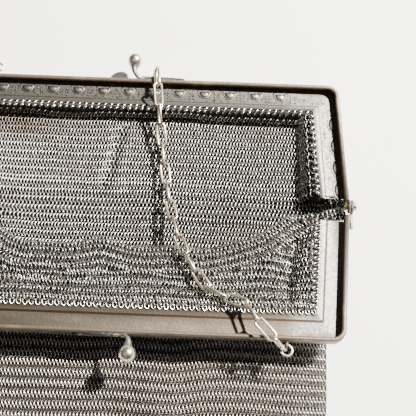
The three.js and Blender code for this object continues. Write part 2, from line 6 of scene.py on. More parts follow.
import bpy
import numpy as np
from bpy.props import FloatProperty, FloatVectorProperty, IntProperty, PointerProperty
from mathutils import Matrix, Vector


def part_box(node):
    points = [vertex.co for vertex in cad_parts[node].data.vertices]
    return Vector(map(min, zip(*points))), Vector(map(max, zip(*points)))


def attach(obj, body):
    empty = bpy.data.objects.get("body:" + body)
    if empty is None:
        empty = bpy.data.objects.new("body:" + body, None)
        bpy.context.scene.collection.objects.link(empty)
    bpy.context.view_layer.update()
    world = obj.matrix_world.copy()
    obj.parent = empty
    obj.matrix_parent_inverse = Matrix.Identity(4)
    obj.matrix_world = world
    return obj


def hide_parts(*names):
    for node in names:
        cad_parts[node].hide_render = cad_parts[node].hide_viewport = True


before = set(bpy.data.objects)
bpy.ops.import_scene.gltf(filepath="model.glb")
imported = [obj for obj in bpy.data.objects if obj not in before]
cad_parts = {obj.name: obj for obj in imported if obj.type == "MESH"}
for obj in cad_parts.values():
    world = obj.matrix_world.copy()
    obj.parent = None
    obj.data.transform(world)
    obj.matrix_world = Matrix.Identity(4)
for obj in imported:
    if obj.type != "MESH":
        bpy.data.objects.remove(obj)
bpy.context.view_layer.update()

bl_info = {
    "name": "Ring-mesh purse",
    "version": (1, 0, 0),
    "blender": (4, 5, 0),
    "location": "3D View > Sidebar > Purse",
    "description": "Builds the mail, lacing, ornament and chain of a mesh purse round its packed solids",
    "category": "Object",
}

MM = 0.001

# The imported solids' own sizes, in millimetres and degrees
FRAME_WIDTH = 168
BAR_WIDTH = 161.4
FRAME_DEPTH = 53
CORNER_RADIUS = 5
INNER_CORNER_RADIUS = 0.6
SHEET = 0.8
WALL_HEIGHT = 3.8
FLANGE_WIDTH = 10.8
BEVEL_WIDTH = 2.4
BEVEL_RISE = 0.9
FLANGE_SETBACK = 4.6
DECORATED_TILT = 5.2
PLAIN_TILT = 8.7
BAR_LIFT = 4.8
CLASP_OFFSET = 2.9
BALL_DIAMETER = 6.2
BALL_REACH = 7.4
BALL_LIFT = 0.8
EYELET_OFFSET = 59.4
EYELET_REACH = 1.45
EYELET_DROP = 1.9
RING_DIAMETER = 4.8
RING_WIRE = 0.9
LINK_WIDTH = 4
LINK_OVERLAP = 0.2
LINK_CLEARANCE = 0.2
CHAIN_LINKS = 29
MAIL = 1.2
LACE_GAP = 0.5
BAG_LENGTH = 115
BAG_WIDTH = 153
FOOT_WIDTH = 149
POUCH_HEIGHT = 5.9
SEAM_HEIGHT = 2.8
HINGE_SEAM_HEIGHT = 8
SEAM_INSET = 0.5
SEAM_OVERLAP = 0.6
SEAM_SLOPE = 7
BULGE_SLOPE = 14
FOLD_OFFSET = 19.5
FOLD_FLAT = 36
FOLD_RADIUS = 2
FOLD_SIDE_RADIUS = 0.9
INNER_DIP = 3.4
CREASE_HEIGHT = 1.5

# The links' wire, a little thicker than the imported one, and how far their sides bow out
LINK_WIRE = 1.08
LINK_SPREAD = 0.2

# The mesh's drops beside the frame: their run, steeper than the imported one, and the level share of it
ARM_SLOPE = 5.8
ARM_LEVEL = 0.12
FOLD_ARM_SLOPE = 9.5
FOLD_ARM_LEVEL = 0.24
BAR_SLOPE = 4.4

# The fold: its part that draws in at the sides, its waves as height, length and start, and its round end
FOLD_GATHER = 0.95
FOLD_WAVES = ((1.1, 9, 0), (0.7, 4.1, 1))
NOSE = 0.1

# Shares of the folded part that are free of crumples and that come down from the fold; the crumples' height
CALM_SHARE = 0.12
CREST_SHARE = 0.35
CRINKLE = 0.55

# A low ridge that the mesh keeps inside the decorated half
RIDGE_HEIGHT = 1.0
RIDGE_WIDTH = 2.6
RIDGE_PLACE = -13.5
RIDGE_SLANT = 0.22
RIDGE_MARGIN = 4
HINGE_FADE = 10
BAR_FADE = 6

# Ring mail: its rows round the fold, as shares of the fold, and how many follow it
NOSE_ROWS = (0.3, 0.62, 0.9)
FOLD_ROWS = 5

# Each ring's own turn in radians, in the flat mail and in the folded one
LOOSENESS = 0.025
CRUMPLED = 0.13

# Distances from the decorated edge, the foot and the plain edge to their first rows
FIRST_ROW = 2.3
FOOT_ROW = 1.4
BAR_ROW = 1.6

# How far from the hinge axis the inner rows end, and how much of the bag's length has no body rows
WINDOW_END = 21
BODY_END = 50

# Share of the sheet's width that has rings, their height over its middle and a raised row's part of it
SHEET_SHARE = 0.992
ROW_LIFT = 0.32
ROW_STEP = 0.2

# Share of the width over which the fold's slope is taken
SLOPE_STEP = 0.01

# Painted light and shade of each part of the mail: a shift to how far its rings stand out, which darkens the
# window and lightens the body
WINDOW_PAINTED_SHADE = -0.3
BODY_PAINTED_LIGHT = 0.42
FOLD_PAINTED_LIGHT = 0.05

# The dark sheets under the rings, painted shade for their gaps: thickness, distances from the mail's middle,
# the upper sheet's and weave's rows
GROUND = 0.22
UNDER_DROP = -0.49
LOWER_DROP = 0.4
FOLDED_DROP = -0.3
SHEET_ROWS = 60
WEAVE_ROW = 3.6

# Creases of the folded mesh: x, y, turn, length, width, height
CREASES = (
    (-0.72, 0.22, 12, 0.3, 0.12, 1.0),
    (-0.58, 0.52, -24, 0.22, 0.1, -0.9),
    (-0.35, 0.34, -28, 0.26, 0.11, 1.0),
    (-0.16, 0.62, 8, 0.2, 0.1, -0.7),
    (-0.02, 0.3, 14, 0.24, 0.12, 0.8),
    (0.2, 0.5, -16, 0.2, 0.1, -0.9),
    (0.44, 0.32, 24, 0.26, 0.14, 1.1),
    (0.7, 0.5, 58, 0.24, 0.09, 1.4),
    (0.87, 0.5, 66, 0.24, 0.08, -2.4),
)

# The chain's route between its jump rings: x, y, z and the turn about its own run
CHAIN_ROUTE = (
    (53.8, -52.1, 26.6, 0),
    (49.4, -47.6, 26.0, 0),
    (45.4, -41.0, 23.0, 0),
    (39.9, -37.9, 20.6, 0),
    (33.3, -37.0, 19.4, 0),
    (25.3, -27.4, 16.4, 0),
    (20.3, -19.0, 14.4, 0),
    (15.6, -4.5, 9.4, 0),
    (12.2, 10.8, 6.2, 0),
    (9.8, 26.6, 6.2, 0),
    (8.4, 37.0, 9.0, 15),
    (7.4, 47.4, 12.4, 30),
    (6.4, 55.8, 12.0, 30),
    (5.0, 55.4, 3.6, 60),
    (-1.6, 51.0, 2.5, 90),
    (-9.0, 47.6, 2.4, 90),
    (-30.0, 47.4, 2.4, 60),
    (-60.0, 47.4, 2.4, 20),
    (-68.0, 47.6, 2.4, 0),
    (-70.5, 53.0, 3.4, 0),
    (-67.5, 55.4, 5.0, 0),
)

# Pressed ornament: half its length, half its width or depth, and its rise
BAR_CUP = (2.7, 3.5, 0.22)
BAR_PETAL = (2.0, 2.4, 0.32)
ARM_CUP = (4.3, 3.1, 0.22)
ARM_PETAL = (3.4, 2.0, 0.3)
DOT = (0.36, 0.36, 0.34)
SPECK = (0.25, 0.25, 0.22)

# How far in from the edge the ornament lies, how far apart, and how far it keeps from the corners
BAR_CUP_IN = 4.2
BAR_PETAL_IN = 4.25
ARM_CUP_IN = 3.3
ARM_PETAL_IN = 3.35
BAR_DOTS_IN = (4.5, 5.7, 6.9)
BAR_DOT_HALF = 0.75
ARM_DOT_IN = 6.7
ARM_DOT_HALF = 0.65
SPECK_IN = 2.3
BAR_CUP_END = 18
FIRST_ARM_CUP = 8.3
ARM_CUP_END = 12
CUP_WIRE = 0.09
BORDER_WIRE = 0.2

# Lacing: past the flange's edge, half its length and width, wire, slant and stand in degrees
DECORATED_LACE = (1.05, (1.5, 1.0), 0.8, -34, 86)
PLAIN_LACE = (0.75, (1.2, 0.85), 0.6, 12, 32)

# Clasp balls and hinge rivets
BALL_SKIN = 0.03
SHANK_RADIUS = 0.7
SHANK_SHORT = 1.0
RIVET_HEAD = 0.9

# The mesh bunches out between the halves beside each hinge
HINGE_GUSSET = 10.3
GUSSET_REACH = 3.4
GUSSET_EDGE = 2.2

TOTAL_HEIGHT = WALL_HEIGHT + SHEET
HALF_WIDTH = FRAME_WIDTH / 2
ARM_SLANT = (FRAME_WIDTH - BAR_WIDTH) / 2 / FRAME_DEPTH
LOW = math.radians(DECORATED_TILT)
HIGH = math.radians(PLAIN_TILT)
HINGE_HEIGHT = BAR_LIFT + FRAME_DEPTH * math.sin(LOW) + TOTAL_HEIGHT * math.cos(LOW)
LACED_DROP = TOTAL_HEIGHT - BEVEL_RISE - SHEET / 2
WINDOW_DEPTH = FRAME_DEPTH - FLANGE_WIDTH - LACE_GAP
UNDER_MIDDLE = MAIL / 2
UPPER_MIDDLE = UNDER_MIDDLE + POUCH_HEIGHT
DECORATED_EDGE = WINDOW_DEPTH * math.cos(LOW) - LACED_DROP * math.sin(LOW)
PLAIN_EDGE = WINDOW_DEPTH * math.cos(HIGH) + LACED_DROP * math.sin(HIGH)
RING_MEAN = (RING_DIAMETER - RING_WIRE) / 2
LINK_MEAN = (LINK_WIDTH - LINK_WIRE) / 2


# Mesh surfaces, in millimetres, on arrays
def mix(a, b, share):
    return a + (b - a) * share


def smooth(t):
    t = np.clip(t, 0, 1)
    return t * t * (3 - 2 * t)


def arm_half(depth):
    return HALF_WIDTH - ARM_SLANT * depth


def window_half(depth):
    return arm_half(depth) - FLANGE_WIDTH * math.hypot(1, ARM_SLANT) - LACE_GAP


HINGE_HALF = window_half(0)


def laced_plane(tilt, depth):
    return HINGE_HEIGHT + depth * math.tan(tilt) - LACED_DROP / math.cos(tilt)


def gusset(y):
    return HINGE_GUSSET * (1 - smooth((np.abs(y) - GUSSET_REACH) / GUSSET_EDGE))


def sheet_half(y):
    body = mix(HINGE_HALF, BAG_WIDTH / 2, smooth(-y / (BAG_LENGTH * 0.35)))
    body = body - (BAG_WIDTH - FOOT_WIDTH) / 2 * smooth((-y / BAG_LENGTH - 0.6) / 0.4)
    return np.where(y > 0, window_half(y), body) + gusset(y)


def seam_height(y):
    hinge = mix(SEAM_HEIGHT, HINGE_SEAM_HEIGHT, smooth(1 + y / (1.5 * FOLD_OFFSET)))
    return mix(hinge, laced_plane(-LOW, y), smooth(y / FLANGE_SETBACK))


def held(distance, slope, level=0.2):
    return 1 - smooth((distance / slope - level) / (1 - level))


def under_points(v, y):
    half = sheet_half(y)
    x = v * half
    side = half - np.abs(x)
    at_bar = held(DECORATED_EDGE - y, BAR_SLOPE, 0)
    at_arm = mix(held(side, SEAM_SLOPE), held(side, ARM_SLOPE, ARM_LEVEL), smooth(y / FLANGE_SETBACK))
    at_foot = held(y + BAG_LENGTH, SEAM_SLOPE)
    hold = 1 - (1 - at_bar) * (1 - at_arm) * (1 - at_foot)
    edge = seam_height(y) - np.where(y > 0, 0, SEAM_OVERLAP / 2)
    ridge = RIDGE_HEIGHT * np.exp(-(((x - RIDGE_PLACE - RIDGE_SLANT * y) / RIDGE_WIDTH) ** 2))
    ridge = ridge * smooth((y - RIDGE_MARGIN) / HINGE_FADE)
    ridge = ridge * smooth((DECORATED_EDGE - RIDGE_MARGIN - y) / BAR_FADE)
    return np.stack([x, y, UNDER_MIDDLE + ridge + (edge - UNDER_MIDDLE) * hold], -1)


def fold_offset(x):
    """How far the fold lies from the hinge axis."""
    side = smooth((np.abs(x) - FOLD_FLAT) / (HINGE_HALF - FOLD_FLAT))
    waves = sum(rise * np.sin(x / run + start) for rise, run, start in FOLD_WAVES)
    return FOLD_OFFSET * (1 - FOLD_GATHER * side) + (1 - side) * waves


def fold_y(v):
    return -fold_offset(v * HINGE_HALF)


def fold_run(v):
    """Length along the fold for each length across the purse."""
    rise = fold_offset((v + SLOPE_STEP) * HINGE_HALF) - fold_offset((v - SLOPE_STEP) * HINGE_HALF)
    return np.hypot(1, rise / (2 * SLOPE_STEP * HINGE_HALF))


def fold_radius(v):
    return mix(FOLD_RADIUS, FOLD_SIDE_RADIUS, v**4)


def lower_points(v, y):
    half = sheet_half(y) - SEAM_INSET
    x = v * half
    at_side = (1 - np.clip((half - np.abs(x)) / BULGE_SLOPE, 0, 1)) ** 2
    at_foot = (1 - np.clip((y + BAG_LENGTH - SEAM_INSET) / BULGE_SLOPE, 0, 1)) ** 2
    edge = seam_height(y) + SEAM_OVERLAP / 2
    z = mix(UPPER_MIDDLE, edge, 1 - (1 - at_side) * (1 - at_foot))
    return np.stack([x, y, z], -1)


def crease_height(x, share):
    height = 0
    for cx, cy, turn, length, width, rise in CREASES:
        c, s = math.cos(math.radians(turn)), math.sin(math.radians(turn))
        dx = x - cx * HINGE_HALF
        dy = (cy - share) * WINDOW_DEPTH * 0.55
        along = (dx * c + dy * s) / (length * HINGE_HALF)
        across = (dy * c - dx * s) / (width * WINDOW_DEPTH)
        height = height + rise * CREASE_HEIGHT * np.exp(-(along**2) - across**2)
    return height


def crinkles(x, y):
    """Small crumples of the loose mesh: ripples that run across each other, stronger in patches."""
    patch = 0.55 + 0.45 * np.sin(x / 11 + 1.3) * np.cos(y / 7 - x / 17)
    ripple = np.sin((x + 1.7 * y) / 2.3 + 1.4 * np.sin(x / 9))
    crossing = np.sin((1.3 * y - x) / 1.9 + 1.2 * np.sin(x / 6))
    return CRINKLE * patch * (ripple + 0.8 * crossing)


def folded_points(v, share):
    """The folded part at a share of the way from its fold to the plain bar."""
    start_y = fold_y(v)
    start = lower_points(v, start_y)
    y = mix(start_y, -PLAIN_EDGE, share)
    half = mix(sheet_half(start_y) - gusset(start_y), window_half(WINDOW_DEPTH), smooth(share * 2))
    x = v * (half + gusset(y))
    side = window_half(-y) - np.abs(x)
    sag = (1 - held(side, FOLD_ARM_SLOPE, FOLD_ARM_LEVEL)) * (1 - held(y + PLAIN_EDGE, 2 * BAR_SLOPE))
    free = sag * smooth(share / CALM_SHARE)
    settled = laced_plane(HIGH, -y) - INNER_DIP * sag + (crease_height(x, share) + crinkles(x, y)) * free
    crest = start[..., 2] + 2 * fold_radius(v)
    return np.stack([x, y, mix(crest, settled, smooth(share / CREST_SHARE))], -1)


def bar_row_points(v, y):
    """The folded part in rows along the plain bar."""
    return folded_points(v, (y - fold_y(v)) / (-PLAIN_EDGE - fold_y(v)))


def fold_row_points(v, distance):
    """The folded part at a distance from its fold."""
    return folded_points(v, distance * fold_run(v) / (PLAIN_EDGE + fold_y(v)))


def nose_points(v, turn):
    """The fold's round end, at a turn about it."""
    start = lower_points(v, fold_y(v))
    radius = fold_radius(v)
    lift = np.stack([0 * v, radius * np.sin(turn), radius * (1 - np.cos(turn))], -1)
    return start + lift


def upper_points(v, s):
    """The upper sheet from its foot, at s = 0, over the fold from 1 to 1.1, to the plain half at 2."""
    lower = lower_points(v, mix(SEAM_INSET - BAG_LENGTH, fold_y(v), np.clip(s, 0, 1)))
    nose = nose_points(v, math.pi * np.clip((s - 1) / NOSE, 0, 1))
    folded = folded_points(v, np.clip((s - (1 + NOSE)) / (1 - NOSE), 0, 1))
    s = s[..., None]
    return np.where(s <= 1, lower, np.where(s < 1 + NOSE, nose, folded))


# Pieces
def clean_selection():
    if bpy.context.object and bpy.context.object.mode != "OBJECT":
        bpy.ops.object.mode_set(mode="OBJECT")
    bpy.ops.object.select_all(action="DESELECT")


def select_only(piece):
    clean_selection()
    piece.select_set(True)
    bpy.context.view_layer.objects.active = piece


@contextmanager
def editing():
    """Edit mode on the active piece, with all of it selected."""
    bpy.ops.object.mode_set(mode="EDIT")
    bpy.ops.mesh.select_all(action="SELECT")
    yield
    bpy.ops.object.mode_set(mode="OBJECT")


def finish_piece(piece, material, stands_for=()):
    piece.data.materials.clear()
    piece.data.materials.append(material)
    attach(piece, "root")
    if stands_for:
        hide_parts(*stands_for)
    return piece


def mesh_piece(name, points, faces, smooth_shaded=True):
    """A new piece from points in millimetres."""
    mesh = bpy.data.meshes.new(name)
    mesh.from_pydata((np.asarray(points) * MM).tolist(), [], np.asarray(faces).tolist())
    mesh.polygons.foreach_set("use_smooth", [smooth_shaded] * len(mesh.polygons))
    mesh.update()
    piece = bpy.data.objects.new(name, mesh)
    bpy.context.collection.objects.link(piece)
    return piece


def keep_rise(piece, rise):
    """How far each point stands out, for the finish to read."""
    piece.data.attributes.new("rise", "FLOAT", "POINT").data.foreach_set("value", rise.astype(np.float32))


def wire_ring(segments, sides, radius, wire):
    """Points and faces of one wire ring in its own plane, in millimetres."""
    clean_selection()
    bpy.ops.mesh.primitive_torus_add(
        major_segments=segments, minor_segments=sides, major_radius=radius, minor_radius=wire / 2,
        align="WORLD", location=(0, 0, 0), rotation=(0, 0, 0))
    return taken(bpy.context.object)


def taken(made):
    """The points and faces of a shape that is modelled to be copied; its own object goes."""
    mesh = made.data
    points = np.array([v.co for v in mesh.vertices])
    faces = np.array([f.vertices for f in mesh.polygons])
    bpy.data.objects.remove(made)
    bpy.data.meshes.remove(mesh)
    return points, faces


def copies(points, faces, places, bases):
    """Points and faces of a shape set at each place, turned by each basis, whose columns are its axes."""
    moved = np.einsum("nij,mj->nmi", bases, points) + places[:, None, :]
    shifts = np.arange(len(places))[:, None, None] * len(points)
    return moved.reshape(-1, 3), (faces[None] + shifts).reshape(-1, faces.shape[1])


def unit(a):
    return a / np.linalg.norm(a, axis=-1, keepdims=True)


def turned(base, axis, angle):
    """Bases whose other two axes are turned about one of their own axes (0, 1 or 2)."""
    angle = np.broadcast_to(angle, base.shape[:1])
    c, s = np.cos(angle)[:, None], np.sin(angle)[:, None]
    a, b = (axis + 1) % 3, (axis + 2) % 3
    out = base.copy()
    out[:, :, a] = base[:, :, a] * c + base[:, :, b] * s
    out[:, :, b] = base[:, :, b] * c - base[:, :, a] * s
    return out


# Frame halves
def tilt_matrix(decorated):
    """From a half's own frame, y away from the hinge axis and z from the rim, to the row frame."""
    lean = Matrix.Rotation(-LOW if decorated else -HIGH, 4, "X")
    turn = Matrix.Identity(4) if decorated else Matrix.Rotation(math.pi, 4, "Z")
    return Matrix.Translation((0, 0, HINGE_HEIGHT)) @ lean @ turn


def to_row(points, decorated):
    m = np.array(tilt_matrix(decorated))
    return np.asarray(points) @ m[:3, :3].T + m[:3, 3]


def edge_path(inward, setback, corner_steps=4):
    """A line round the U at a distance from the wall's outer face, from the left arm to the right one."""
    across = Vector((1, ARM_SLANT)).normalized()

    def arm_x(depth):
        return arm_half(depth) - inward / across.x

    bar_y = FRAME_DEPTH - inward
    radius = max(CORNER_RADIUS - inward, INNER_CORNER_RADIUS)
    centre_y = bar_y - radius
    centre_x = arm_x(centre_y) - radius / across.x
    right = [(arm_x(setback), setback)]
    start = math.atan2(across.y, across.x)
    for k in range(corner_steps + 1):
        turn = mix(start, math.pi / 2, k / corner_steps)
        right.append((centre_x + radius * math.cos(turn), centre_y + radius * math.sin(turn)))
    left = [(-x, y) for x, y in right]
    return np.array(left + right[::-1])


def along_path(path, distances):
    """Points and directions at distances along a line of points."""
    steps = np.linalg.norm(np.diff(path, axis=0), axis=1)
    total = np.concatenate([[0], np.cumsum(steps)])
    distances = np.asarray(distances)
    i = np.clip(np.searchsorted(total, distances, side="right") - 1, 0, len(steps) - 1)
    share = (distances - total[i]) / steps[i]
    directions = np.diff(path, axis=0)[i] / steps[i][:, None]
    return path[i] + np.diff(path, axis=0)[i] * share[:, None], directions


# Finishes
class Value:
    """A shader socket that takes part in Python arithmetic."""

    def __init__(self, finish, socket):
        self.finish = finish
        self.socket = socket

    def math(self, operation, *others):
        inputs = {i: v for i, v in enumerate((self, *others))}
        return self.finish.node("ShaderNodeMath", {"operation": operation}, inputs)

    def __add__(self, other):
        return self.math("ADD", other)

    def __radd__(self, other):
        return self.math("ADD", other)

    def __sub__(self, other):
        return self.math("SUBTRACT", other)

    def __rsub__(self, other):
        return self.finish.node("ShaderNodeMath", {"operation": "SUBTRACT"}, {0: other, 1: self})

    def __mul__(self, other):
        return self.math("MULTIPLY", other)

    def __rmul__(self, other):
        return self.math("MULTIPLY", other)

    def __truediv__(self, other):
        return self.math("DIVIDE", other)

    def __pow__(self, other):
        return self.math("POWER", other)

    def __neg__(self):
        return self.math("MULTIPLY", -1.0)

    def absolute(self):
        return self.math("ABSOLUTE")

    def sine(self):
        return self.math("SINE")

    def limited(self):
        return self.finish.node("ShaderNodeClamp", {}, {"Value": self})

    def step(self, low, high):
        """0 below low, 1 above high and smooth between them; low may be the larger one."""
        return self.finish.node(
            "ShaderNodeMapRange", {"interpolation_type": "SMOOTHSTEP"},
            {"Value": self, "From Min": low, "From Max": high})

    def between(self, low, high, edge):
        return self.step(low - edge, low + edge) * (1 - self.step(high - edge, high + edge))


class Finish:
    """A material of one Principled shader with helpers to build its nodes."""

    def __init__(self, name, color, roughness, metallic=1.0):
        self.material = bpy.data.materials.new(name)
        self.material.use_nodes = True
        self.tree = self.material.node_tree
        self.shader = self.tree.nodes["Principled BSDF"]
        self.shader.inputs["Base Color"].default_value = (*color, 1)
        self.shader.inputs["Roughness"].default_value = roughness
        self.shader.inputs["Metallic"].default_value = metallic

    def node(self, kind, settings, inputs, output=0):
        made = self.tree.nodes.new(kind)
        for name, value in settings.items():
            setattr(made, name, value)
        for name, value in inputs.items():
            self.put(made.inputs[name], value)
        return Value(self, made.outputs[output])

    def put(self, socket, value):
        if isinstance(value, Value):
            self.tree.links.new(value.socket, socket)
        else:
            socket.default_value = value

    def place(self):
        """The point in the piece's own frame, in metres."""
        return self.node("ShaderNodeTexCoord", {}, {}, "Object")

    def attribute(self, name):
        return self.node("ShaderNodeAttribute", {"attribute_name": name}, {}, "Fac")

    def xyz(self, vector):
        made = self.tree.nodes.new("ShaderNodeSeparateXYZ")
        self.put(made.inputs[0], vector)
        return [Value(self, output) for output in made.outputs]

    def noise(self, scale, detail=2.0, roughness=0.5, vector=None, stretch=None):
        vector = vector or self.place()
        if stretch:
            vector = self.node("ShaderNodeMapping", {}, {"Vector": vector, "Scale": stretch})
        return self.node(
            "ShaderNodeTexNoise", {"noise_dimensions": "3D"},
            {"Vector": vector, "Scale": scale, "Detail": detail, "Roughness": roughness})

    def tint(self, factor, a, b):
        """Colour a where the factor is 0 and b where it is 1."""
        inputs = {}
        for key, value in ((0, factor), (6, a), (7, b)):
            inputs[key] = value if isinstance(value, (Value, float, int)) else (*value, 1)
        return self.node("ShaderNodeMix", {"data_type": "RGBA"}, inputs, 2)

    def bump(self, height, strength, distance):
        inputs = {"Height": height, "Strength": strength, "Distance": distance}
        self.put(self.shader.inputs["Normal"], self.node("ShaderNodeBump", {}, inputs))

    def set(self, name, value):
        self.put(self.shader.inputs[name], value)


# Where the frame's silver changes, in millimetres in a half's own frame: from one place to another
CHANNEL_SIDE = (0.15, 0.75)
CHANNEL_END = (5.0, 6.0)
CHANNEL_FLOOR = (-3.78, -3.55)
CHANNEL_TOP = (-0.35, 0.05)
# How much further in the painted shadow of the wall reaches on the right arms
ARM_SHADOW_REACH = (58.0, 70.0)
# Where the right arms' flange gets a painted highlight
ARM_HIGHLIGHT = (58.0, 66.0)
# Where the painted shade at the wall's foot fades out on the flange
WALL_SHADOW_EDGE = (1.4, 2.8)
FOOT_LEVEL = (-3.7, -3.5)
FLANGE_LEVEL = (-4.2, -4.0)
CREASE = FLANGE_WIDTH - BEVEL_WIDTH
LACED_EDGE = (FLANGE_WIDTH - 1.35, FLANGE_WIDTH - 1.05)
# The rim's outer top edge, which gets a painted highlight
RIM_LEVEL = (-0.9, -0.3)
RIM_SIDE = (0.0, 0.45)

# The cups' painted golden reflections in the wall: half the gap in a pair, its edge, and from where to where
# up
PAIR_HALF = 1.2
PAIR_EDGE = (0.55, 0.2)
PAIR_LEVEL = (-3.2, -1.2)

# Grain of worn metal: scale, detail and roughness of the noise
GRAIN = (1100, 3.0, 0.65)


def shaded(color, share):
    return tuple(share * c for c in color)


def frame_silver(name, decorated, look):
    """Worn silver with painted light: brown tarnish, painted shade and painted reflections on the wall's
    inner face, painted shade at the wall's foot and in the bevel's crease, dull on the bars, a painted
    highlight on the right arms and the rim.
    """
    finish = Finish(name, look.silver, 0.4)
    x, y, z = (value * 1000.0 for value in finish.xyz(finish.place()))
    lean, side = (-LOW, 1) if decorated else (-HIGH, -1)
    z = z - HINGE_HEIGHT
    depth = (y * math.cos(lean) + z * math.sin(lean)) * side
    height = z * math.cos(lean) - y * math.sin(lean)
    to_bar = FRAME_DEPTH - depth
    to_arm = HALF_WIDTH - depth * ARM_SLANT - x.absolute()
    inward = to_bar.math("SMOOTH_MIN", to_arm, 1.0)
    grain = finish.noise(*GRAIN)
    cloud = finish.noise(90, 4.0, 0.6)
    # The wall's inner face: brown tarnish with painted shade, lighter towards the rim
    inside = inward.step(*CHANNEL_SIDE) * (1 - inward.step(*CHANNEL_END))
    wall_tarnish_and_shade = inside * height.step(*CHANNEL_FLOOR) * (1 - height.step(*CHANNEL_TOP) * 0.6)
    # Painted shade at the wall's foot on the flange, reaching further in on the right arms as the wall's
    # painted shadow
    reach = x.step(*ARM_SHADOW_REACH) * 1.6
    foot = (1 - (inward - reach).step(*WALL_SHADOW_EDGE)) * inside * (1 - height.step(*FOOT_LEVEL))
    on_flange = height.step(*FLANGE_LEVEL)
    # A painted highlight on the right arms' flange
    arm_highlight = x.step(*ARM_HIGHLIGHT) * (1 - wall_tarnish_and_shade)
    # A painted shade line along the bevel's crease, darker on the plain half
    if decorated:
        line = inward.between(CREASE - 0.25, CREASE + 0.2, 0.12) * on_flange * 0.75
        crease_shade_color, laced_darkening = look.tarnish, 0.75
        dull = finish.tint(cloud.step(0.4, 0.7) * 0.45, look.silver, shaded(look.silver, 0.6))
        specks = finish.noise(650, 2.0, 0.7).step(0.53, 0.62) * (1 - inward.step(CREASE - 0.4, CREASE)) * 0.75
    # Streaks along the plain bar: partly its satin tone, partly painted dark reflections
    else:
        line = inward.between(CREASE - 0.65, CREASE + 0.25, 0.12) * on_flange * 0.95
        crease_shade_color, laced_darkening = shaded(look.tarnish, 0.25), 0.3
        bar_streaks = finish.noise(95, 4.0, 0.6, stretch=(0.12, 1.0, 1.0))
        dull = finish.tint(bar_streaks.step(0.35, 0.65), look.bar_dark, look.bar)
        dull = finish.tint(cloud.step(0.42, 0.7) * 0.5, dull, look.bar_dark)
        specks = 0.0
    # The right arms' painted highlight
    color = finish.tint(arm_highlight, dull, look.highlight_silver)
    color = finish.tint((grain - 0.5).step(-0.12, 0.12) * 0.6, color, shaded(look.sandy, 0.35))
    color = finish.tint(specks, color, shaded(look.silver, 0.2))
    # The laced strip is kept darker inside the right arms' painted highlight
    laced = inward.step(*LACED_EDGE) * arm_highlight * on_flange
    color = finish.tint(laced * laced_darkening, color, shaded(look.silver, 0.3))
    color = finish.tint(line, color, crease_shade_color)
    # Painted shade at the wall's foot, in tarnish colour
    color = finish.tint((foot * (0.5 + cloud * 0.5)).limited(), color, look.tarnish)
    # Golden streaks and the cups' golden marks on the wall's inner face are painted reflections on its brown
    # tarnish
    streaks = finish.noise(60, 2.0, 0.6, stretch=(1.0, 1.0, 0.15)).step(0.55, 0.75)
    brown = finish.tint(streaks * 0.5, look.tarnish, look.gilt)
    if decorated:
        from_cup = x.math("PINGPONG", sizes().motif_pitch / MM / 2)
        pair = (from_cup - PAIR_HALF).absolute().step(*PAIR_EDGE)
        brown = finish.tint(pair * height.between(*PAIR_LEVEL, 0.5) * 0.6, brown, look.gilt)
    color = finish.tint((wall_tarnish_and_shade * (0.75 + cloud * 0.3)).limited(), color, brown)
    # A painted highlight along the rim's outer top edge
    rim = height.step(*RIM_LEVEL) * (1 - inward.step(*RIM_SIDE))
    color = finish.tint(rim * 0.8 * cloud.step(0.25, 0.55), color, look.highlight_silver)
    finish.set("Base Color", color)
    finish.set("Roughness", (0.36 + grain * 0.16 + cloud * 0.1 + arm_highlight * 0.08).limited())
    finish.set("Metallic", 1 - wall_tarnish_and_shade * 0.55)
    scratches = finish.noise(1400, 2.0, 0.5, stretch=(0.12, 1.0, 1.0))
    finish.bump(grain * 0.7 + scratches * 0.3, 0.5, 0.0002)
    return finish.material


def pressed_silver(name, look):
    """Pressed ornament: rubbed silver on the raised parts and dark dirt at their foot."""
    finish = Finish(name, look.silver, 0.35)
    rise = finish.attribute("rise")
    grain = finish.noise(*GRAIN)
    clean = rise.step(0.1, 0.29)
    shade = finish.tint(clean, shaded(look.tarnish, 0.4), shaded(look.silver, 1.25))
    finish.set("Base Color", finish.tint((grain - 0.5).step(-0.15, 0.15) * 0.4, shade, look.sandy))
    finish.set("Roughness", 0.3 + grain * 0.15)
    finish.bump(grain, 0.4, 0.00015)
    return finish.material


def wire_silver(name, look, color, roughness, tarnish):
    """Polished wire, browner where it is rubbed least."""
    finish = Finish(name, color, roughness)
    cloud = finish.noise(60, 3.0, 0.6)
    fine = finish.noise(700, 2.0, 0.5)
    mask = (cloud.step(0.52, 0.75) * tarnish).limited()
    shade = finish.tint(mask, color, look.gilt)
    finish.set("Base Color", shade)
    finish.set("Roughness", (roughness * 0.8 + fine * roughness * 0.6).limited())
    finish.bump(fine, 0.12, 0.00008)
    return finish.material


# Where the mail's silver changes, in metres: from one place to another, and the edge between them
# A bronze band by the decorated bar: partly tarnish, partly painted shade under the bar's edge
BRONZE_AND_SHADE_ROWS = (0.0285, 0.043, 0.004)
BRONZE_AND_SHADE_FADE = (-0.045, 0.01)
SPOT_ROWS = (-0.02, 0.03, 0.005)
WARM_ROWS = (-0.035, -0.05)


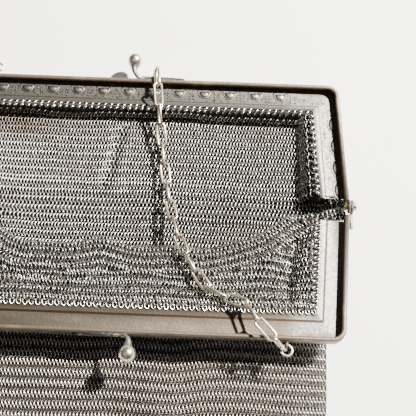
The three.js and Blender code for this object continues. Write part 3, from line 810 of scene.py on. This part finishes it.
def mail_silver(name, look):
    """Silver rings of uneven brightness, with painted shade on their lower sides, bronze tarnish and painted
    shade by the decorated bar, and tarnish in spots.
    """
    finish = Finish(name, look.mail, 0.3)
    x, y, _ = finish.xyz(finish.place())
    rise = finish.attribute("rise")
    ring = finish.noise(520, 1.0, 0.5)
    cloud = finish.noise(45, 3.0, 0.6)
    # The bronze band by the decorated bar, stronger on the left: tarnish and painted shade
    bar = y.between(*BRONZE_AND_SHADE_ROWS)
    left = 0.35 + 0.65 * (1 - x.step(*BRONZE_AND_SHADE_FADE))
    spots = finish.noise(33, 2.0, 0.5).step(0.62, 0.72)
    stain_and_shade = (bar * left * (0.35 + cloud * 0.6) + spots * 0.35 * y.between(*SPOT_ROWS)).limited()
    warm = finish.tint(y.step(*WARM_ROWS), look.mail, look.warm_mail)
    shade = finish.tint(ring.step(0.25, 0.75) * 0.35, warm, look.gap)
    shade = finish.tint(cloud.step(0.45, 0.75) * 0.4, shade, look.sandy)
    shade = finish.tint(stain_and_shade, shade, look.tarnish)
    # Painted shade: each ring's lower side, and the tucked rows, go dark as the gaps
    shade = finish.tint(rise.step(-0.35, 0.45), look.gap, shade)
    finish.set("Base Color", shade)
    finish.set("Roughness", (0.3 + ring * 0.06 + stain_and_shade * 0.15).limited())
    return finish.material


def mail_ground(name, look):
    """Painted shade for the gaps between the rings, with the rings' pattern pressed in for the side that lies
    down.
    """
    finish = Finish(name, look.gap, 0.5)
    uv = finish.node("ShaderNodeUVMap", {"uv_map": "weave"}, {})
    u, v, _ = finish.xyz(uv)
    turn = 2 * math.pi
    slant = (v * math.pi).sine() * 0.18
    strokes = ((u + slant) * turn * 2.0).sine() * 0.5 + 0.5
    rows = (v * turn).sine() * 0.5 + 0.5
    wires = (strokes * (0.35 + rows * 0.65)).limited()
    _, _, up = finish.xyz(finish.node("ShaderNodeNewGeometry", {}, {}, "Normal"))
    # Dark on the side that faces up, as painted shade in the gaps; the rings' pattern on the side that lies
    # down
    bright = wires.step(0.25, 0.8) * up.step(0.2, -0.2)
    finish.set("Base Color", finish.tint(bright, look.gap, shaded(look.mail, 0.8)))
    finish.set("Roughness", 0.5 - bright * 0.15)
    finish.set("Metallic", (0.35 + bright * 0.65).limited())
    finish.bump(wires, 0.8, 0.0005)
    return finish.material


def size_property(title, text, millimetres):
    return FloatProperty(name=title, description=text, default=millimetres * MM, unit="LENGTH")


def angle_property(title, text, degrees):
    return FloatProperty(name=title, description=text, default=math.radians(degrees), subtype="ANGLE")


def colour(title, text, default):
    return FloatVectorProperty(
        name=title, description=text, default=default, size=3, subtype="COLOR", min=0, max=1)


class PurseSizes(bpy.types.PropertyGroup):
    """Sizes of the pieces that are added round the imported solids."""

    ring: size_property("Mail ring", "Mean diameter of a mail ring", 2.35)
    wire: size_property("Mail wire", "Thickness of a mail ring's wire", 0.44)
    lean: angle_property("Ring lean", "How far the rings of a raised row lean on each other", 38)
    tucked_lean: angle_property("Tucked lean", "How far the rings of a lower row lean the other way", 50)
    row_roll: angle_property("Row roll", "How far the body's rows roll up and down into ridges", 14)
    columns: IntProperty(name="Ring columns", description="Rings across the bag", default=114)
    window_row: size_property("Window row pitch", "Row pitch of the mesh in the frame", 1.74)
    body_row: size_property("Body row pitch", "Row pitch of the mesh in the bag's body", 1.95)
    whip_pitch: size_property("Whip pitch", "Pitch of the lacing on the decorated half", 2.55)
    loop_pitch: size_property("Loop pitch", "Pitch of the lacing loops on the plain half", 2.35)
    motif_pitch: size_property("Cup pitch", "Pitch of the pressed cups along the bar", 10.4)
    arm_motif_pitch: size_property("Arm cup pitch", "Pitch of the pressed cups along the arms", 9.5)


class PurseLook(bpy.types.PropertyGroup):
    """Colours of the purse's metal."""

    silver: colour("Frame silver", "Dull silver of the frame's bars", (0.20, 0.19, 0.17))
    sandy: colour("Sandy silver", "Warm rubbed silver", (0.235, 0.195, 0.155))
    bar: colour("Plain bar", "Warm satin silver of the plain bar", (0.185, 0.155, 0.122))
    # Also the painted dark reflections in the plain bar's streaks
    bar_dark: colour("Dull plain bar", "Browner streaks along the plain bar", (0.085, 0.07, 0.054))
    # The colour of the painted highlight on the right arms and on the rim
    highlight_silver: colour("Rubbed silver", "Silver kept bright by handling", (0.27, 0.265, 0.25))
    # Also the painted shade at the wall's foot, in the bevel's crease and on the wall's inner face
    tarnish: colour("Tarnish", "Brown tarnish in corners", (0.13, 0.088, 0.055))
    # Also the painted golden reflections on the wall's inner face
    gilt: colour("Golden tarnish", "Golden tint on polished wire", (0.50, 0.36, 0.19))
    mail: colour("Mail silver", "Silver of the mail's rings", (0.62, 0.61, 0.565))
    warm_mail: colour("Warm mail", "Silver of the bag's body", (0.76, 0.69, 0.61))
    bright: colour("Chain silver", "Polished silver of the chain and clasps", (0.76, 0.67, 0.52))
    # Also the painted shade on the rings' lower sides and on the sheets under the rings
    gap: colour("Gaps", "Dark between the rings", (0.03, 0.026, 0.022))


def look():
    return bpy.context.scene.purse_look


def sizes():
    return bpy.context.scene.purse_sizes


class PURSE_OT_frame(bpy.types.Operator):
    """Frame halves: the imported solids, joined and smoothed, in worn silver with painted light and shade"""

    bl_idname = "purse.frame"
    bl_label = "Frame halves"

    def execute(self, context):
        for node, decorated in (("decorated_frame", True), ("plain_frame", False)):
            clean_selection()
            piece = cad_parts[node].copy()
            piece.data = piece.data.copy()
            piece.name = node.replace("_frame", "_half")
            for key in [k for k in piece.keys() if k.startswith("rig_")]:
                del piece[key]
            context.collection.objects.link(piece)
            piece.parent = None
            piece.matrix_world = Matrix.Identity(4)
            select_only(piece)
            with editing():
                bpy.ops.mesh.remove_doubles(threshold=0.000005)
            bpy.ops.object.shade_smooth_by_angle(angle=math.radians(32))
            name = "worn_silver_decorated" if decorated else "worn_silver_plain"
            finish_piece(piece, frame_silver(name, decorated, look()), [node])
        return {"FINISHED"}


class PURSE_OT_relief(bpy.types.Operator):
    """Pressed ornament of the decorated half: cups, petals, dots and a border line, on both faces"""

    bl_idname = "purse.relief"
    bl_label = "Pressed ornament"

    def execute(self, context):
        step, arm_step = sizes().motif_pitch / MM, sizes().arm_motif_pitch / MM
        finish = pressed_silver("pressed_silver", look())
        bar_places = np.arange(step / 2, BAR_WIDTH / 2 - BAR_CUP_END, step)
        arm_places = np.arange(FIRST_ARM_CUP, FRAME_DEPTH - ARM_CUP_END, arm_step)
        bar = [(x * side, FRAME_DEPTH) for side in (-1, 1) for x in bar_places]
        arms = [(arm_half(y) * side, y) for side in (-1, 1) for y in arm_places]
        cup, wide_cup = self.cup(*BAR_CUP), self.cup(*ARM_CUP)
        petal, wide_petal = self.bump(*BAR_PETAL), self.bump(*ARM_PETAL)
        dot, speck = self.bump(*DOT, cut=False), self.bump(*SPECK, cut=False)
        between = [
            (half * step / 2 + a, i)
            for half in (-1, 1) for a in (-BAR_DOT_HALF, BAR_DOT_HALF) for i in BAR_DOTS_IN]
        foot = [(a * step / 4, SPECK_IN) for a in (-1.5, -0.5, 0.5, 1.5)]
        ends = [
            (half * arm_step / 2 + a, ARM_DOT_IN)
            for half in (-1, 1) for a in (-ARM_DOT_HALF, ARM_DOT_HALF)]
        for name, level, up in (("inner", -WALL_HEIGHT, 1), ("outer", -TOTAL_HEIGHT, -1)):
            laid = [
                self.lay(cup, bar, [(0, BAR_CUP_IN)], up),
                self.lay(petal, bar, [(0, BAR_PETAL_IN)], up),
                self.lay(dot, bar, between, up),
                self.lay(speck, bar, foot, up),
                self.lay(wide_cup, arms, [(0, ARM_CUP_IN)], up),
                self.lay(wide_petal, arms, [(0, ARM_PETAL_IN)], up),
                self.lay(dot, arms, ends, up),
                self.border(),
            ]
            starts = np.cumsum([0] + [len(points) for points, _ in laid])
            points = np.concatenate([points for points, _ in laid]) + [0, 0, level]
            faces = np.concatenate([faces + start for (_, faces), start in zip(laid, starts)])
            piece = mesh_piece(f"ornament_{name}", to_row(points, True), faces)
            keep_rise(piece, np.abs(points[:, 2] - level))
            finish_piece(piece, finish)
        return {"FINISHED"}

    def lay(self, shape, origins, offsets, up):
        """A shape at each offset along and in from the edge, seen from each origin on the edge."""
        places, bases = [], []
        for x, y in origins:
            on_bar = y == FRAME_DEPTH
            inward = np.array((0, -1, 0)) if on_bar else unit(np.array((-math.copysign(1, x), -ARM_SLANT, 0)))
            along = np.array((inward[1], -inward[0], 0))
            for a, i in offsets:
                places.append(np.array((x, y, 0)) + along * a + inward * i)
                bases.append(np.stack([along * up, inward, (0, 0, up)], 1))
        return copies(*shape, np.array(places), np.array(bases))

    def cup(self, half_width, depth, height):
        """A raised line round half an oval, from a ring that is cut across."""
        clean_selection()
        bpy.ops.mesh.primitive_torus_add(
            major_segments=24, minor_segments=6, major_radius=1, minor_radius=CUP_WIRE,
            align="WORLD", location=(0, 0, 0), rotation=(0, 0, 0))
        return self.halved((half_width, depth, height / CUP_WIRE), True)

    def bump(self, half_length, half_width, height, cut=True):
        """A low dome, whole or cut across."""
        clean_selection()
        bpy.ops.mesh.primitive_uv_sphere_add(
            segments=12 if cut else 8, ring_count=8 if cut else 4, radius=1,
            location=(0, 0, 0), rotation=(0, 0, 0))
        return self.halved((half_length, half_width, height), cut)

    def halved(self, scale, cut):
        with editing():
            if cut:
                bpy.ops.mesh.bisect(plane_co=(0, 0, 0), plane_no=(0, 1, 0), use_fill=True, clear_inner=True)
            bpy.ops.mesh.select_all(action="SELECT")
            bpy.ops.mesh.quads_convert_to_tris()
            bpy.ops.transform.resize(value=scale)
        return taken(bpy.context.object)

    def border(self):
        """The line along the bevel."""
        clean_selection()
        line = bpy.data.curves.new("border", "CURVE")
        line.dimensions = "3D"
        line.bevel_depth = BORDER_WIRE
        line.bevel_resolution = 1
        line.use_fill_caps = True
        path = edge_path(CREASE, FLANGE_SETBACK + 0.4)
        spline = line.splines.new("POLY")
        spline.points.add(len(path) - 1)
        for point, (x, y) in zip(spline.points, path):
            point.co = (x, y, 0, 1)
        made = bpy.data.objects.new("border", line)
        bpy.context.collection.objects.link(made)
        select_only(made)
        bpy.ops.object.convert(target="MESH")
        with editing():
            bpy.ops.mesh.remove_doubles(threshold=0.001)
            bpy.ops.mesh.quads_convert_to_tris()
            bpy.ops.mesh.normals_make_consistent(inside=False)
        return taken(bpy.context.object)


class PURSE_OT_clasps(bpy.types.Operator):
    """Clasp balls: a smooth ball over each soldered one"""

    bl_idname = "purse.clasps"
    bl_label = "Clasp balls"

    def execute(self, context):
        finish = wire_silver("clasp_silver", look(), look().bright, 0.27, 0.4)
        for name, decorated in (("decorated_clasp_ball", True), ("plain_clasp_ball", False)):
            clean_selection()
            bpy.ops.mesh.primitive_uv_sphere_add(
                segments=40, ring_count=24, radius=(BALL_DIAMETER / 2 + BALL_SKIN) * MM, location=(0, 0, 0),
                rotation=(math.pi / 2, 0, 0))
            piece = context.object
            piece.name = name
            bpy.ops.object.transform_apply(location=True, rotation=True, scale=True)
            centre = to_row([(-CLASP_OFFSET, FRAME_DEPTH + BALL_REACH, BALL_LIFT)], decorated)[0]
            piece.data.transform(Matrix.Translation(Vector(centre) * MM))
            bpy.ops.object.shade_smooth()
            finish_piece(piece, finish)
        return {"FINISHED"}


class PURSE_OT_ground(bpy.types.Operator):
    """Painted shade for the mail's gaps: one thin closed dark sheet under the rings of each layer"""

    bl_idname = "purse.ground"
    bl_label = "Mail ground"

    def execute(self, context):
        finish = mail_ground("mail_gap_shade", look())
        v = np.sin(np.linspace(-1, 1, 65) * math.pi / 2)
        y = np.concatenate([
            np.linspace(DECORATED_EDGE, 8, 30), np.linspace(7, -8, 21), np.linspace(-9, -BAG_LENGTH, 60)])
        s = np.concatenate([
            np.linspace(0, 1, 80), 1 + NOSE * np.arange(1, 8) / 8, np.linspace(1 + NOSE, 2, 45)])
        drop = mix(LOWER_DROP, FOLDED_DROP, smooth((s - (1 - NOSE)) / NOSE))
        under = self.sheet_piece("under_mesh", under_points(*np.meshgrid(v, y)), v, y, UNDER_DROP + 0 * y)
        upper = self.sheet_piece("upper_mesh", upper_points(*np.meshgrid(v, s)), v, s * SHEET_ROWS, drop)
        finish_piece(under, finish, ["mesh_bag"])
        finish_piece(upper, finish)
        return {"FINISHED"}

    def sheet_piece(self, name, grid, v, rows, drop):
        """A closed sheet along a grid of points, moved off it by a drop for each row of the grid."""
        middle = grid + surface_normals(grid) * drop[:, None, None]
        n, m = grid.shape[:2]
        index = np.arange(n * m).reshape(n, m)
        quads = np.stack([index[:-1, :-1], index[1:, :-1], index[1:, 1:], index[:-1, 1:]], -1)
        piece = mesh_piece(name, middle.reshape(-1, 3), quads.reshape(-1, 4))
        layer = piece.data.uv_layers.new(name="weave")
        loops = np.empty(len(piece.data.loops), dtype=np.int32)
        piece.data.loops.foreach_get("vertex_index", loops)
        across = np.broadcast_to(v * sizes().columns / 2, (n, m)).reshape(-1)
        down = np.broadcast_to((rows / WEAVE_ROW)[:, None], (n, m)).reshape(-1)
        layer.data.foreach_set("uv", np.stack([across[loops], down[loops]], 1).reshape(-1))
        select_only(piece)
        solid = piece.modifiers.new("thickness", "SOLIDIFY")
        solid.thickness = GROUND * MM
        solid.offset = 0
        bpy.ops.object.modifier_apply(modifier=solid.name)
        with editing():
            bpy.ops.mesh.normals_make_consistent(inside=False)
        return piece


def surface_normals(grid):
    """Unit normals, upwards, of a grid of points whose rows go across and whose columns go down the sheet."""
    across = np.gradient(grid, axis=1)
    down = np.gradient(grid, axis=0)
    return unit(-np.cross(across, down))


class PURSE_OT_mail(bpy.types.Operator):
    """Ring mail: rows of rings stacked like coins, leaning left in one row and right in the next"""

    bl_idname = "purse.mail"
    bl_label = "Ring mail"

    def execute(self, context):
        pitch, body_pitch = sizes().window_row / MM, sizes().body_row / MM
        window = DECORATED_EDGE - FIRST_ROW - pitch * np.arange(int((DECORATED_EDGE + WINDOW_END) / pitch))
        half = len(window) // 2
        self.strip("mail_inside", under_points, window[:half], 1, WINDOW_PAINTED_SHADE, self.window_wave)
        self.strip("mail_middle", under_points, window[half:], 1, WINDOW_PAINTED_SHADE, self.window_wave)
        body = -BAG_LENGTH + FOOT_ROW + body_pitch * np.arange(int((BAG_LENGTH - BODY_END) / body_pitch))
        half = len(body) // 2
        self.strip("mail_foot", lower_points, body[:half], -1, BODY_PAINTED_LIGHT, self.body_wave)
        self.strip("mail_body", lower_points, body[half:], -1, BODY_PAINTED_LIGHT, self.body_wave)
        nose = 1.0 + NOSE * np.array(NOSE_ROWS)
        self.strip("mail_fold", upper_points, nose, -1, FOLD_PAINTED_LIGHT, None, CRUMPLED)
        beside = pitch * (0.6 + np.arange(FOLD_ROWS))
        self.strip("mail_crest", fold_row_points, beside, -1, FOLD_PAINTED_LIGHT, None, CRUMPLED)
        laid = -PLAIN_EDGE + BAR_ROW + pitch * np.arange(int((PLAIN_EDGE + 2) / pitch))
        self.strip("mail_folded", bar_row_points, laid, -1, FOLD_PAINTED_LIGHT, self.fold_wave, CRUMPLED)
        return {"FINISHED"}

    def evenly(self, surface, row, shares):
        """Places across the sheet at even steps along its slopes, for shares from 0 to 1."""
        v = np.linspace(-1, 1, 401)
        steps = np.linalg.norm(np.diff(surface(v, np.full(v.shape, row)), axis=0), axis=1)
        run = np.concatenate([[0], np.cumsum(steps)])
        return np.interp(shares * run[-1], run, v)

    def crest_reach(self, v):
        """How far down the rows that follow the fold reach."""
        return (FOLD_ROWS + 0.1) * sizes().window_row / MM * fold_run(v)

    def window_wave(self, x, y):
        return 0.3 * np.sin(x / 13 + 0.6) + 0.15 * np.sin(x / 5.1 + y / 9)

    def fold_wave(self, x, y):
        return 0.6 * smooth((y + PLAIN_EDGE) / 10) * np.sin(x / 8 + y / 6)

    def body_wave(self, x, y):
        near = smooth((y + BAG_LENGTH) / 12)
        swell = 0.9 * np.exp(-(((x + 4) / 9) ** 2))
        swell = swell + 1.9 * smooth((x - 17) / 15) - 0.6 * smooth((x - 45) / 25)
        return near * (swell - 0.7 + 0.15 * np.sin(x / 5 + y / 11))

    def strip(self, name, surface, rows, front, rubbed, wave, loose=LOOSENESS):
        """Rings in rows on a surface; front is 1 or -1 for the way that their raised rows lean; rubbed shifts
        the strip's painted light and shade.
        """
        s = sizes()
        random = np.random.default_rng(len(name) * 7 + len(rows))
        i, k = np.meshgrid(np.arange(s.columns), np.arange(len(rows)))
        even = (i + np.where(k % 2 == 0, 0.25, 0.75)) / s.columns
        v = self.evenly(surface, rows[len(rows) // 2], even) * SHEET_SHARE
        row = np.broadcast_to(np.asarray(rows)[:, None], v.shape)
        v, row, raised = v.reshape(-1), row.reshape(-1), (k % 2 == 0).reshape(-1)
        if wave is not None:
            row = row + wave(v * HINGE_HALF, row)
        if name == "mail_folded":
            kept = row < fold_y(v) - self.crest_reach(v)
            v, row, raised = v[kept], row[kept], raised[kept]
        tiny = 1e-3
        place = surface(v, row)
        across = unit(surface(v + tiny, row) - surface(v - tiny, row))
        down = unit(surface(v, row + tiny) - surface(v, row - tiny))
        normal = -unit(np.cross(across, down))
        if name != "mail_fold":
            normal = np.where(normal[:, 2:] < 0, -normal, normal)
        bases = np.stack([across, unit(np.cross(normal, across)), normal], 2)
        bases = turned(bases, 2, random.normal(0, loose, len(v)))
        lean = front * np.where(raised, s.lean, -s.tucked_lean) + random.normal(0, loose, len(v))
        bases = turned(bases, 1, lean)
        roll = s.row_roll * (1 if front < 0 else 0.4)
        bases = turned(bases, 0, np.where(raised, roll, -roll) + random.normal(0, loose, len(v)))
        lift = ROW_LIFT + np.where(raised, ROW_STEP, -ROW_STEP)
        place = place + normal * lift[:, None] + random.normal(0, 0.6 * LOOSENESS, place.shape)
        shape = wire_ring(10, 4, s.ring / MM / 2, s.wire / MM)
        points, faces = copies(*shape, place, bases)
        piece = mesh_piece(name, points, faces)
        each = len(shape[0])
        out = points - np.repeat(place, each, axis=0)
        rise = np.einsum("ni,ni->n", out, np.repeat(normal, each, axis=0))
        # Tucked rows sit lower and rubbed shifts a whole strip: the painted light and shade that the finish
        # reads
        keep_rise(piece, rise + np.repeat(np.where(raised, 0.15, -0.3) + rubbed, each))
        finish = bpy.data.materials.get("mail_rings") or mail_silver("mail_rings", look())
        finish_piece(piece, finish)


class PURSE_OT_lacing(bpy.types.Operator):
    """Lacing: slanting whip stitches of wire on the decorated half, loops on the plain half"""

    bl_idname = "purse.lacing"
    bl_label = "Lacing"

    def execute(self, context):
        s = sizes()
        finish = wire_silver("lacing_silver", look(), look().mail, 0.24, 0.5)
        self.lace("decorated_lacing", True, s.whip_pitch / MM, *DECORATED_LACE, finish)
        self.lace("plain_lacing", False, s.loop_pitch / MM, *PLAIN_LACE, finish)
        return {"FINISHED"}

    def lace(self, name, decorated, pitch, past, reach, wire, slant, stand, finish):
        """Loops along the laced edge, turned in the flange's plane by slant and lifted out of it by stand."""
        path = edge_path(FLANGE_WIDTH + past, FLANGE_SETBACK + 0.6)
        length = np.linalg.norm(np.diff(path, axis=0), axis=1).sum()
        count = int(length / pitch)
        spots, ways = along_path(path, (np.arange(count) + 0.5) * length / count)
        points, faces = wire_ring(14, 6, 1.0, wire)
        turn = np.arctan2(points[:, 1], points[:, 0])
        out = np.hypot(points[:, 0], points[:, 1]) - 1
        oval = [(reach[0] + out) * np.cos(turn), (reach[1] + out) * np.sin(turn), points[:, 2]]
        points = np.stack(oval, 1)
        level = np.zeros(count)
        bases = np.stack([
            np.column_stack([ways[:, 1], -ways[:, 0], level]), np.column_stack([ways, level]),
            np.column_stack([level, level, level + 1]),
        ], 2)
        random = np.random.default_rng(count)
        bases = turned(bases, 2, math.radians(slant) + random.normal(0, 0.05, count))
        bases = turned(bases, 0, math.radians(stand) + random.normal(0, 0.06, count))
        places = np.column_stack([spots, level - LACED_DROP + 0.2])
        made, quads = copies(points, faces, places, bases)
        finish_piece(mesh_piece(name, to_row(made, decorated), quads), finish)


class PURSE_OT_chain(bpy.types.Operator):
    """Chain: round-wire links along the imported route, with a jump ring at each end"""

    bl_idname = "purse.chain"
    bl_label = "Chain and jump rings"

    def execute(self, context):
        finish = wire_silver("chain_silver", look(), look().bright, 0.29, 0.75)
        rings = [self.jump_ring(node, decorated, finish)
                 for node, decorated in (("plain_jump_ring", False), ("decorated_jump_ring", True))]
        joints = self.joints(*rings)
        points, faces, total = [], [], 0
        for i, (a, b) in enumerate(zip(joints[:-1], joints[1:])):
            turn = math.radians(self.turn_at((a + b) / 2) + (90 if i % 2 == 0 else 0))
            p, f = self.link(a, b, turn)
            points.append(p)
            faces.append(f + total)
            total += len(p)
        piece = mesh_piece("chain_links", np.concatenate(points), np.concatenate(faces))
        finish_piece(piece, finish, ["chain"])
        return {"FINISHED"}

    def jump_ring(self, node, decorated, finish):
        """The ring as a piece; returns its centre and its plane's normal."""
        points, faces = wire_ring(36, 12, RING_MEAN, RING_WIRE)
        place = [-EYELET_OFFSET, FRAME_DEPTH + EYELET_REACH + RING_MEAN, -EYELET_DROP]
        piece = mesh_piece(node.replace("jump_ring", "chain_ring"), to_row(points + place, decorated), faces)
        finish_piece(piece, finish, [node])
        centre, above = to_row([place, np.array(place) + [0, 0, 1]], decorated)
        return centre, above - centre

    def ring_joint(self, ring, target):
        centre, normal = ring
        way = target - centre
        outward = unit(way - normal * (way @ normal))
        wire = centre + outward * RING_MEAN
        inside = (RING_WIRE + LINK_OVERLAP) / 2 + LINK_CLEARANCE
        return wire - unit(target - wire) * inside

    def joints(self, first_ring, last_ring):
        chosen = [np.array(point[:3]) for point in CHAIN_ROUTE]
        first, last = self.ring_joint(first_ring, chosen[0]), self.ring_joint(last_ring, chosen[-1])
        samples = self.curve([first, *chosen, last], 3000)
        shortest, longest = LINK_WIDTH, 3 * LINK_WIDTH
        for _ in range(20):
            pitch = (shortest + longest) / 2
            joints = [first]
            for point in samples:
                if len(joints) < CHAIN_LINKS and np.linalg.norm(point - joints[-1]) >= pitch:
                    joints.append(point)
            if len(joints) < CHAIN_LINKS or np.linalg.norm(joints[-1] - last) < pitch:
                longest = pitch
            else:
                shortest = pitch
        return [*joints, last]

    def curve(self, points, count):
        """Points on a centripetal curve through the given ones."""
        points = [2 * points[0] - points[1], *points, 2 * points[-1] - points[-2]]
        spans = len(points) - 3
        out = []
        for step in range(count + 1):
            at = spans * step / count
            i = min(int(at), spans - 1)
            p0, p1, p2, p3 = points[i:i + 4]
            d0, d1, d2 = (np.linalg.norm(b - a) ** 0.5 for a, b in ((p0, p1), (p1, p2), (p2, p3)))
            t1 = (p1 - p0) / d0 - (p2 - p0) / (d0 + d1) + (p2 - p1) / d1
            t2 = (p2 - p1) / d1 - (p3 - p1) / (d1 + d2) + (p3 - p2) / d2
            t1, t2, t = t1 * d1, t2 * d1, at - i
            out.append(p1 + t1 * t + (3 * (p2 - p1) - 2 * t1 - t2) * t**2 + (2 * (p1 - p2) + t1 + t2) * t**3)
        return out

    def turn_at(self, place):
        """The route's own turn at the place nearest to a point."""
        best = (math.inf, 0)
        for a, b in zip(CHAIN_ROUTE[:-1], CHAIN_ROUTE[1:]):
            start, end = np.array(a[:3]), np.array(b[:3])
            share = np.clip((place - start) @ (end - start) / ((end - start) @ (end - start)), 0, 1)
            best = min(best, (np.linalg.norm(mix(start, end, share) - place), mix(a[3], b[3], share)))
        return best[1]

    def link(self, a, b, turn):
        """One long link: two half rings joined by straight wires."""
        reach = np.linalg.norm(b - a) / 2 + (LINK_WIRE - LINK_OVERLAP) / 2
        straight = reach - LINK_MEAN
        points, faces = wire_ring(16, 10, LINK_MEAN, LINK_WIRE)
        points = points + straight * np.sign(np.round(points[:, :1], 6)) * [1, 0, 0]
        points = points + LINK_SPREAD * np.sign(np.round(points[:, 1:2], 6)) * [0, 1, 0]
        along = unit(b - a)
        level = unit(np.cross([0, 0, 1], along))
        base = np.stack([along, level, np.cross(along, level)], 1)[None]
        return copies(points, faces, ((a + b) / 2)[None], turned(base, 0, turn))


class PURSE_OT_rivets(bpy.types.Operator):
    """Hinge rivets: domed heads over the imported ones"""

    bl_idname = "purse.rivets"
    bl_label = "Hinge rivets"

    def execute(self, context):
        finish = wire_silver("rivet_silver", look(), look().gilt, 0.25, 0.5)
        for node, name in (("right_hinge_pin", "right_rivet"), ("left_hinge_pin", "left_rivet")):
            low, high = (Vector(corner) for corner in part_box(node))
            centre, size = (low + high) / 2, high - low
            clean_selection()
            bpy.ops.mesh.primitive_cylinder_add(
                vertices=32, radius=SHANK_RADIUS * MM, depth=size.x - SHANK_SHORT * MM, location=(0, 0, 0),
                rotation=(0, math.pi / 2, 0))
            shank = context.object
            bpy.ops.object.transform_apply(location=False, rotation=True, scale=True)
            heads = [shank]
            flat = RIVET_HEAD * MM
            for side in (1, -1):
                bpy.ops.mesh.primitive_uv_sphere_add(
                    segments=32, ring_count=16, radius=size.z / 2, location=(0, 0, 0), rotation=(0, 0, 0))
                heads.append(context.object)
                with editing():
                    bpy.ops.mesh.bisect(
                        plane_co=(0, 0, 0), plane_no=(side, 0, 0), use_fill=True, clear_inner=True)
                    bpy.ops.mesh.select_all(action="SELECT")
                    bpy.ops.transform.resize(value=(flat / (size.z / 2), 1, 1))
                    bpy.ops.transform.translate(value=(side * (size.x / 2 - flat), 0, 0))
            clean_selection()
            for piece in heads:
                piece.select_set(True)
            context.view_layer.objects.active = shank
            bpy.ops.object.join()
            shank.name = name
            shank.data.transform(Matrix.Translation(centre))
            bpy.ops.object.shade_smooth_by_angle(angle=math.radians(40))
            finish_piece(shank, finish, [node])
        return {"FINISHED"}


# Camera at the photograph's angle: degrees, millimetres and pixels
VIEW = {"elevation": 74.65, "azimuth": 0.25, "roll": 1.93, "distance": 313.84, "target": (29.33, 1.26, 0),
        "focal": 780, "width": 416}

# Lamps: the way to each, distance and size in metres, power in watts and colour
LAMPS = {
    "key": ((0.76, 0.5, 1.0), 1.1, 0.055, 92, (1.0, 0.96, 0.9)),
    "fill": ((-0.5, -0.35, 1.2), 1.4, 1.0, 1.5, (0.88, 0.93, 1.0)),
}
SKY = (0.85, 0.9, 1.0, 1)
SKY_STRENGTH = 0.12
PAPER = (0.86, 0.86, 0.86)


class PURSE_OT_stage(bpy.types.Operator):
    """Stage: pale floor, soft key light from the right, fill and the camera"""

    bl_idname = "purse.stage"
    bl_label = "Stage"

    def execute(self, context):
        self.floor()
        for name, lamp in LAMPS.items():
            self.light(name, *lamp)
        world = context.scene.world or bpy.data.worlds.new("studio")
        context.scene.world = world
        world.use_nodes = True
        background = world.node_tree.nodes["Background"]
        background.inputs["Color"].default_value = SKY
        background.inputs["Strength"].default_value = SKY_STRENGTH
        self.camera(context)
        return {"FINISHED"}

    def floor(self):
        clean_selection()
        bpy.ops.mesh.primitive_plane_add(size=6, location=(0, 0, 0))
        floor = bpy.context.object
        floor.name = "floor"
        finish = Finish("pale_paper", PAPER, 0.85, 0.0)
        fine = finish.noise(300, 2.0, 0.5)
        finish.set("Roughness", 0.8 + fine * 0.1)
        floor.data.materials.append(finish.material)

    def light(self, name, way, distance, size, power, tone):
        data = bpy.data.lights.new(name, "AREA")
        data.energy = power
        data.size = size
        data.color = tone
        lamp = bpy.data.objects.new(name, data)
        bpy.context.collection.objects.link(lamp)
        way = Vector(way).normalized()
        lamp.location = way * distance
        lamp.rotation_euler = way.to_track_quat("Z", "Y").to_euler()

    def camera(self, context):
        data = bpy.data.cameras.new("camera")
        data.sensor_width = 36
        data.sensor_fit = "HORIZONTAL"
        data.lens = VIEW["focal"] / VIEW["width"] * data.sensor_width
        camera = bpy.data.objects.new("camera", data)
        context.collection.objects.link(camera)
        e, az, roll = (math.radians(VIEW[k]) for k in ("elevation", "azimuth", "roll"))
        forward = Vector((-math.sin(az) * math.cos(e), math.cos(az) * math.cos(e), -math.sin(e)))
        right = Vector((math.cos(az), math.sin(az), 0))
        up = right.cross(forward)
        cos, sin = math.cos(roll), math.sin(roll)
        right, up = right * cos + up * sin, up * cos - right * sin
        place = Vector(VIEW["target"]) * MM - forward * VIEW["distance"] * MM
        turn = Matrix((right, up, -forward)).transposed().to_4x4()
        camera.matrix_world = Matrix.Translation(place) @ turn
        context.scene.camera = camera


BUILD_ORDER = (
    PURSE_OT_frame, PURSE_OT_relief, PURSE_OT_clasps, PURSE_OT_ground, PURSE_OT_mail,
    PURSE_OT_lacing, PURSE_OT_chain, PURSE_OT_rivets, PURSE_OT_stage,
)


class PURSE_PT_panel(bpy.types.Panel):
    """Sizes, colours and the steps that build the purse"""

    bl_label = "Mesh purse"
    bl_space_type = "VIEW_3D"
    bl_region_type = "UI"
    bl_category = "Purse"

    def draw(self, context):
        for group in (context.scene.purse_sizes, context.scene.purse_look):
            column = self.layout.column(align=True)
            for name in group.__annotations__:
                column.prop(group, name)
        for step in BUILD_ORDER:
            self.layout.operator(step.bl_idname)


CLASSES = (PurseSizes, PurseLook, *BUILD_ORDER, PURSE_PT_panel)


def register():
    for cls in CLASSES:
        bpy.utils.register_class(cls)
    bpy.types.Scene.purse_sizes = PointerProperty(type=PurseSizes)
    bpy.types.Scene.purse_look = PointerProperty(type=PurseLook)


def unregister():
    del bpy.types.Scene.purse_look
    del bpy.types.Scene.purse_sizes
    for cls in reversed(CLASSES):
        bpy.utils.unregister_class(cls)


def main():
    register()
    bpy.ops.purse.frame()
    bpy.ops.purse.relief()
    bpy.ops.purse.clasps()
    bpy.ops.purse.ground()
    bpy.ops.purse.mail()
    bpy.ops.purse.lacing()
    bpy.ops.purse.chain()
    bpy.ops.purse.rivets()
    bpy.ops.purse.stage()


if __name__ == "__main__":
    main()
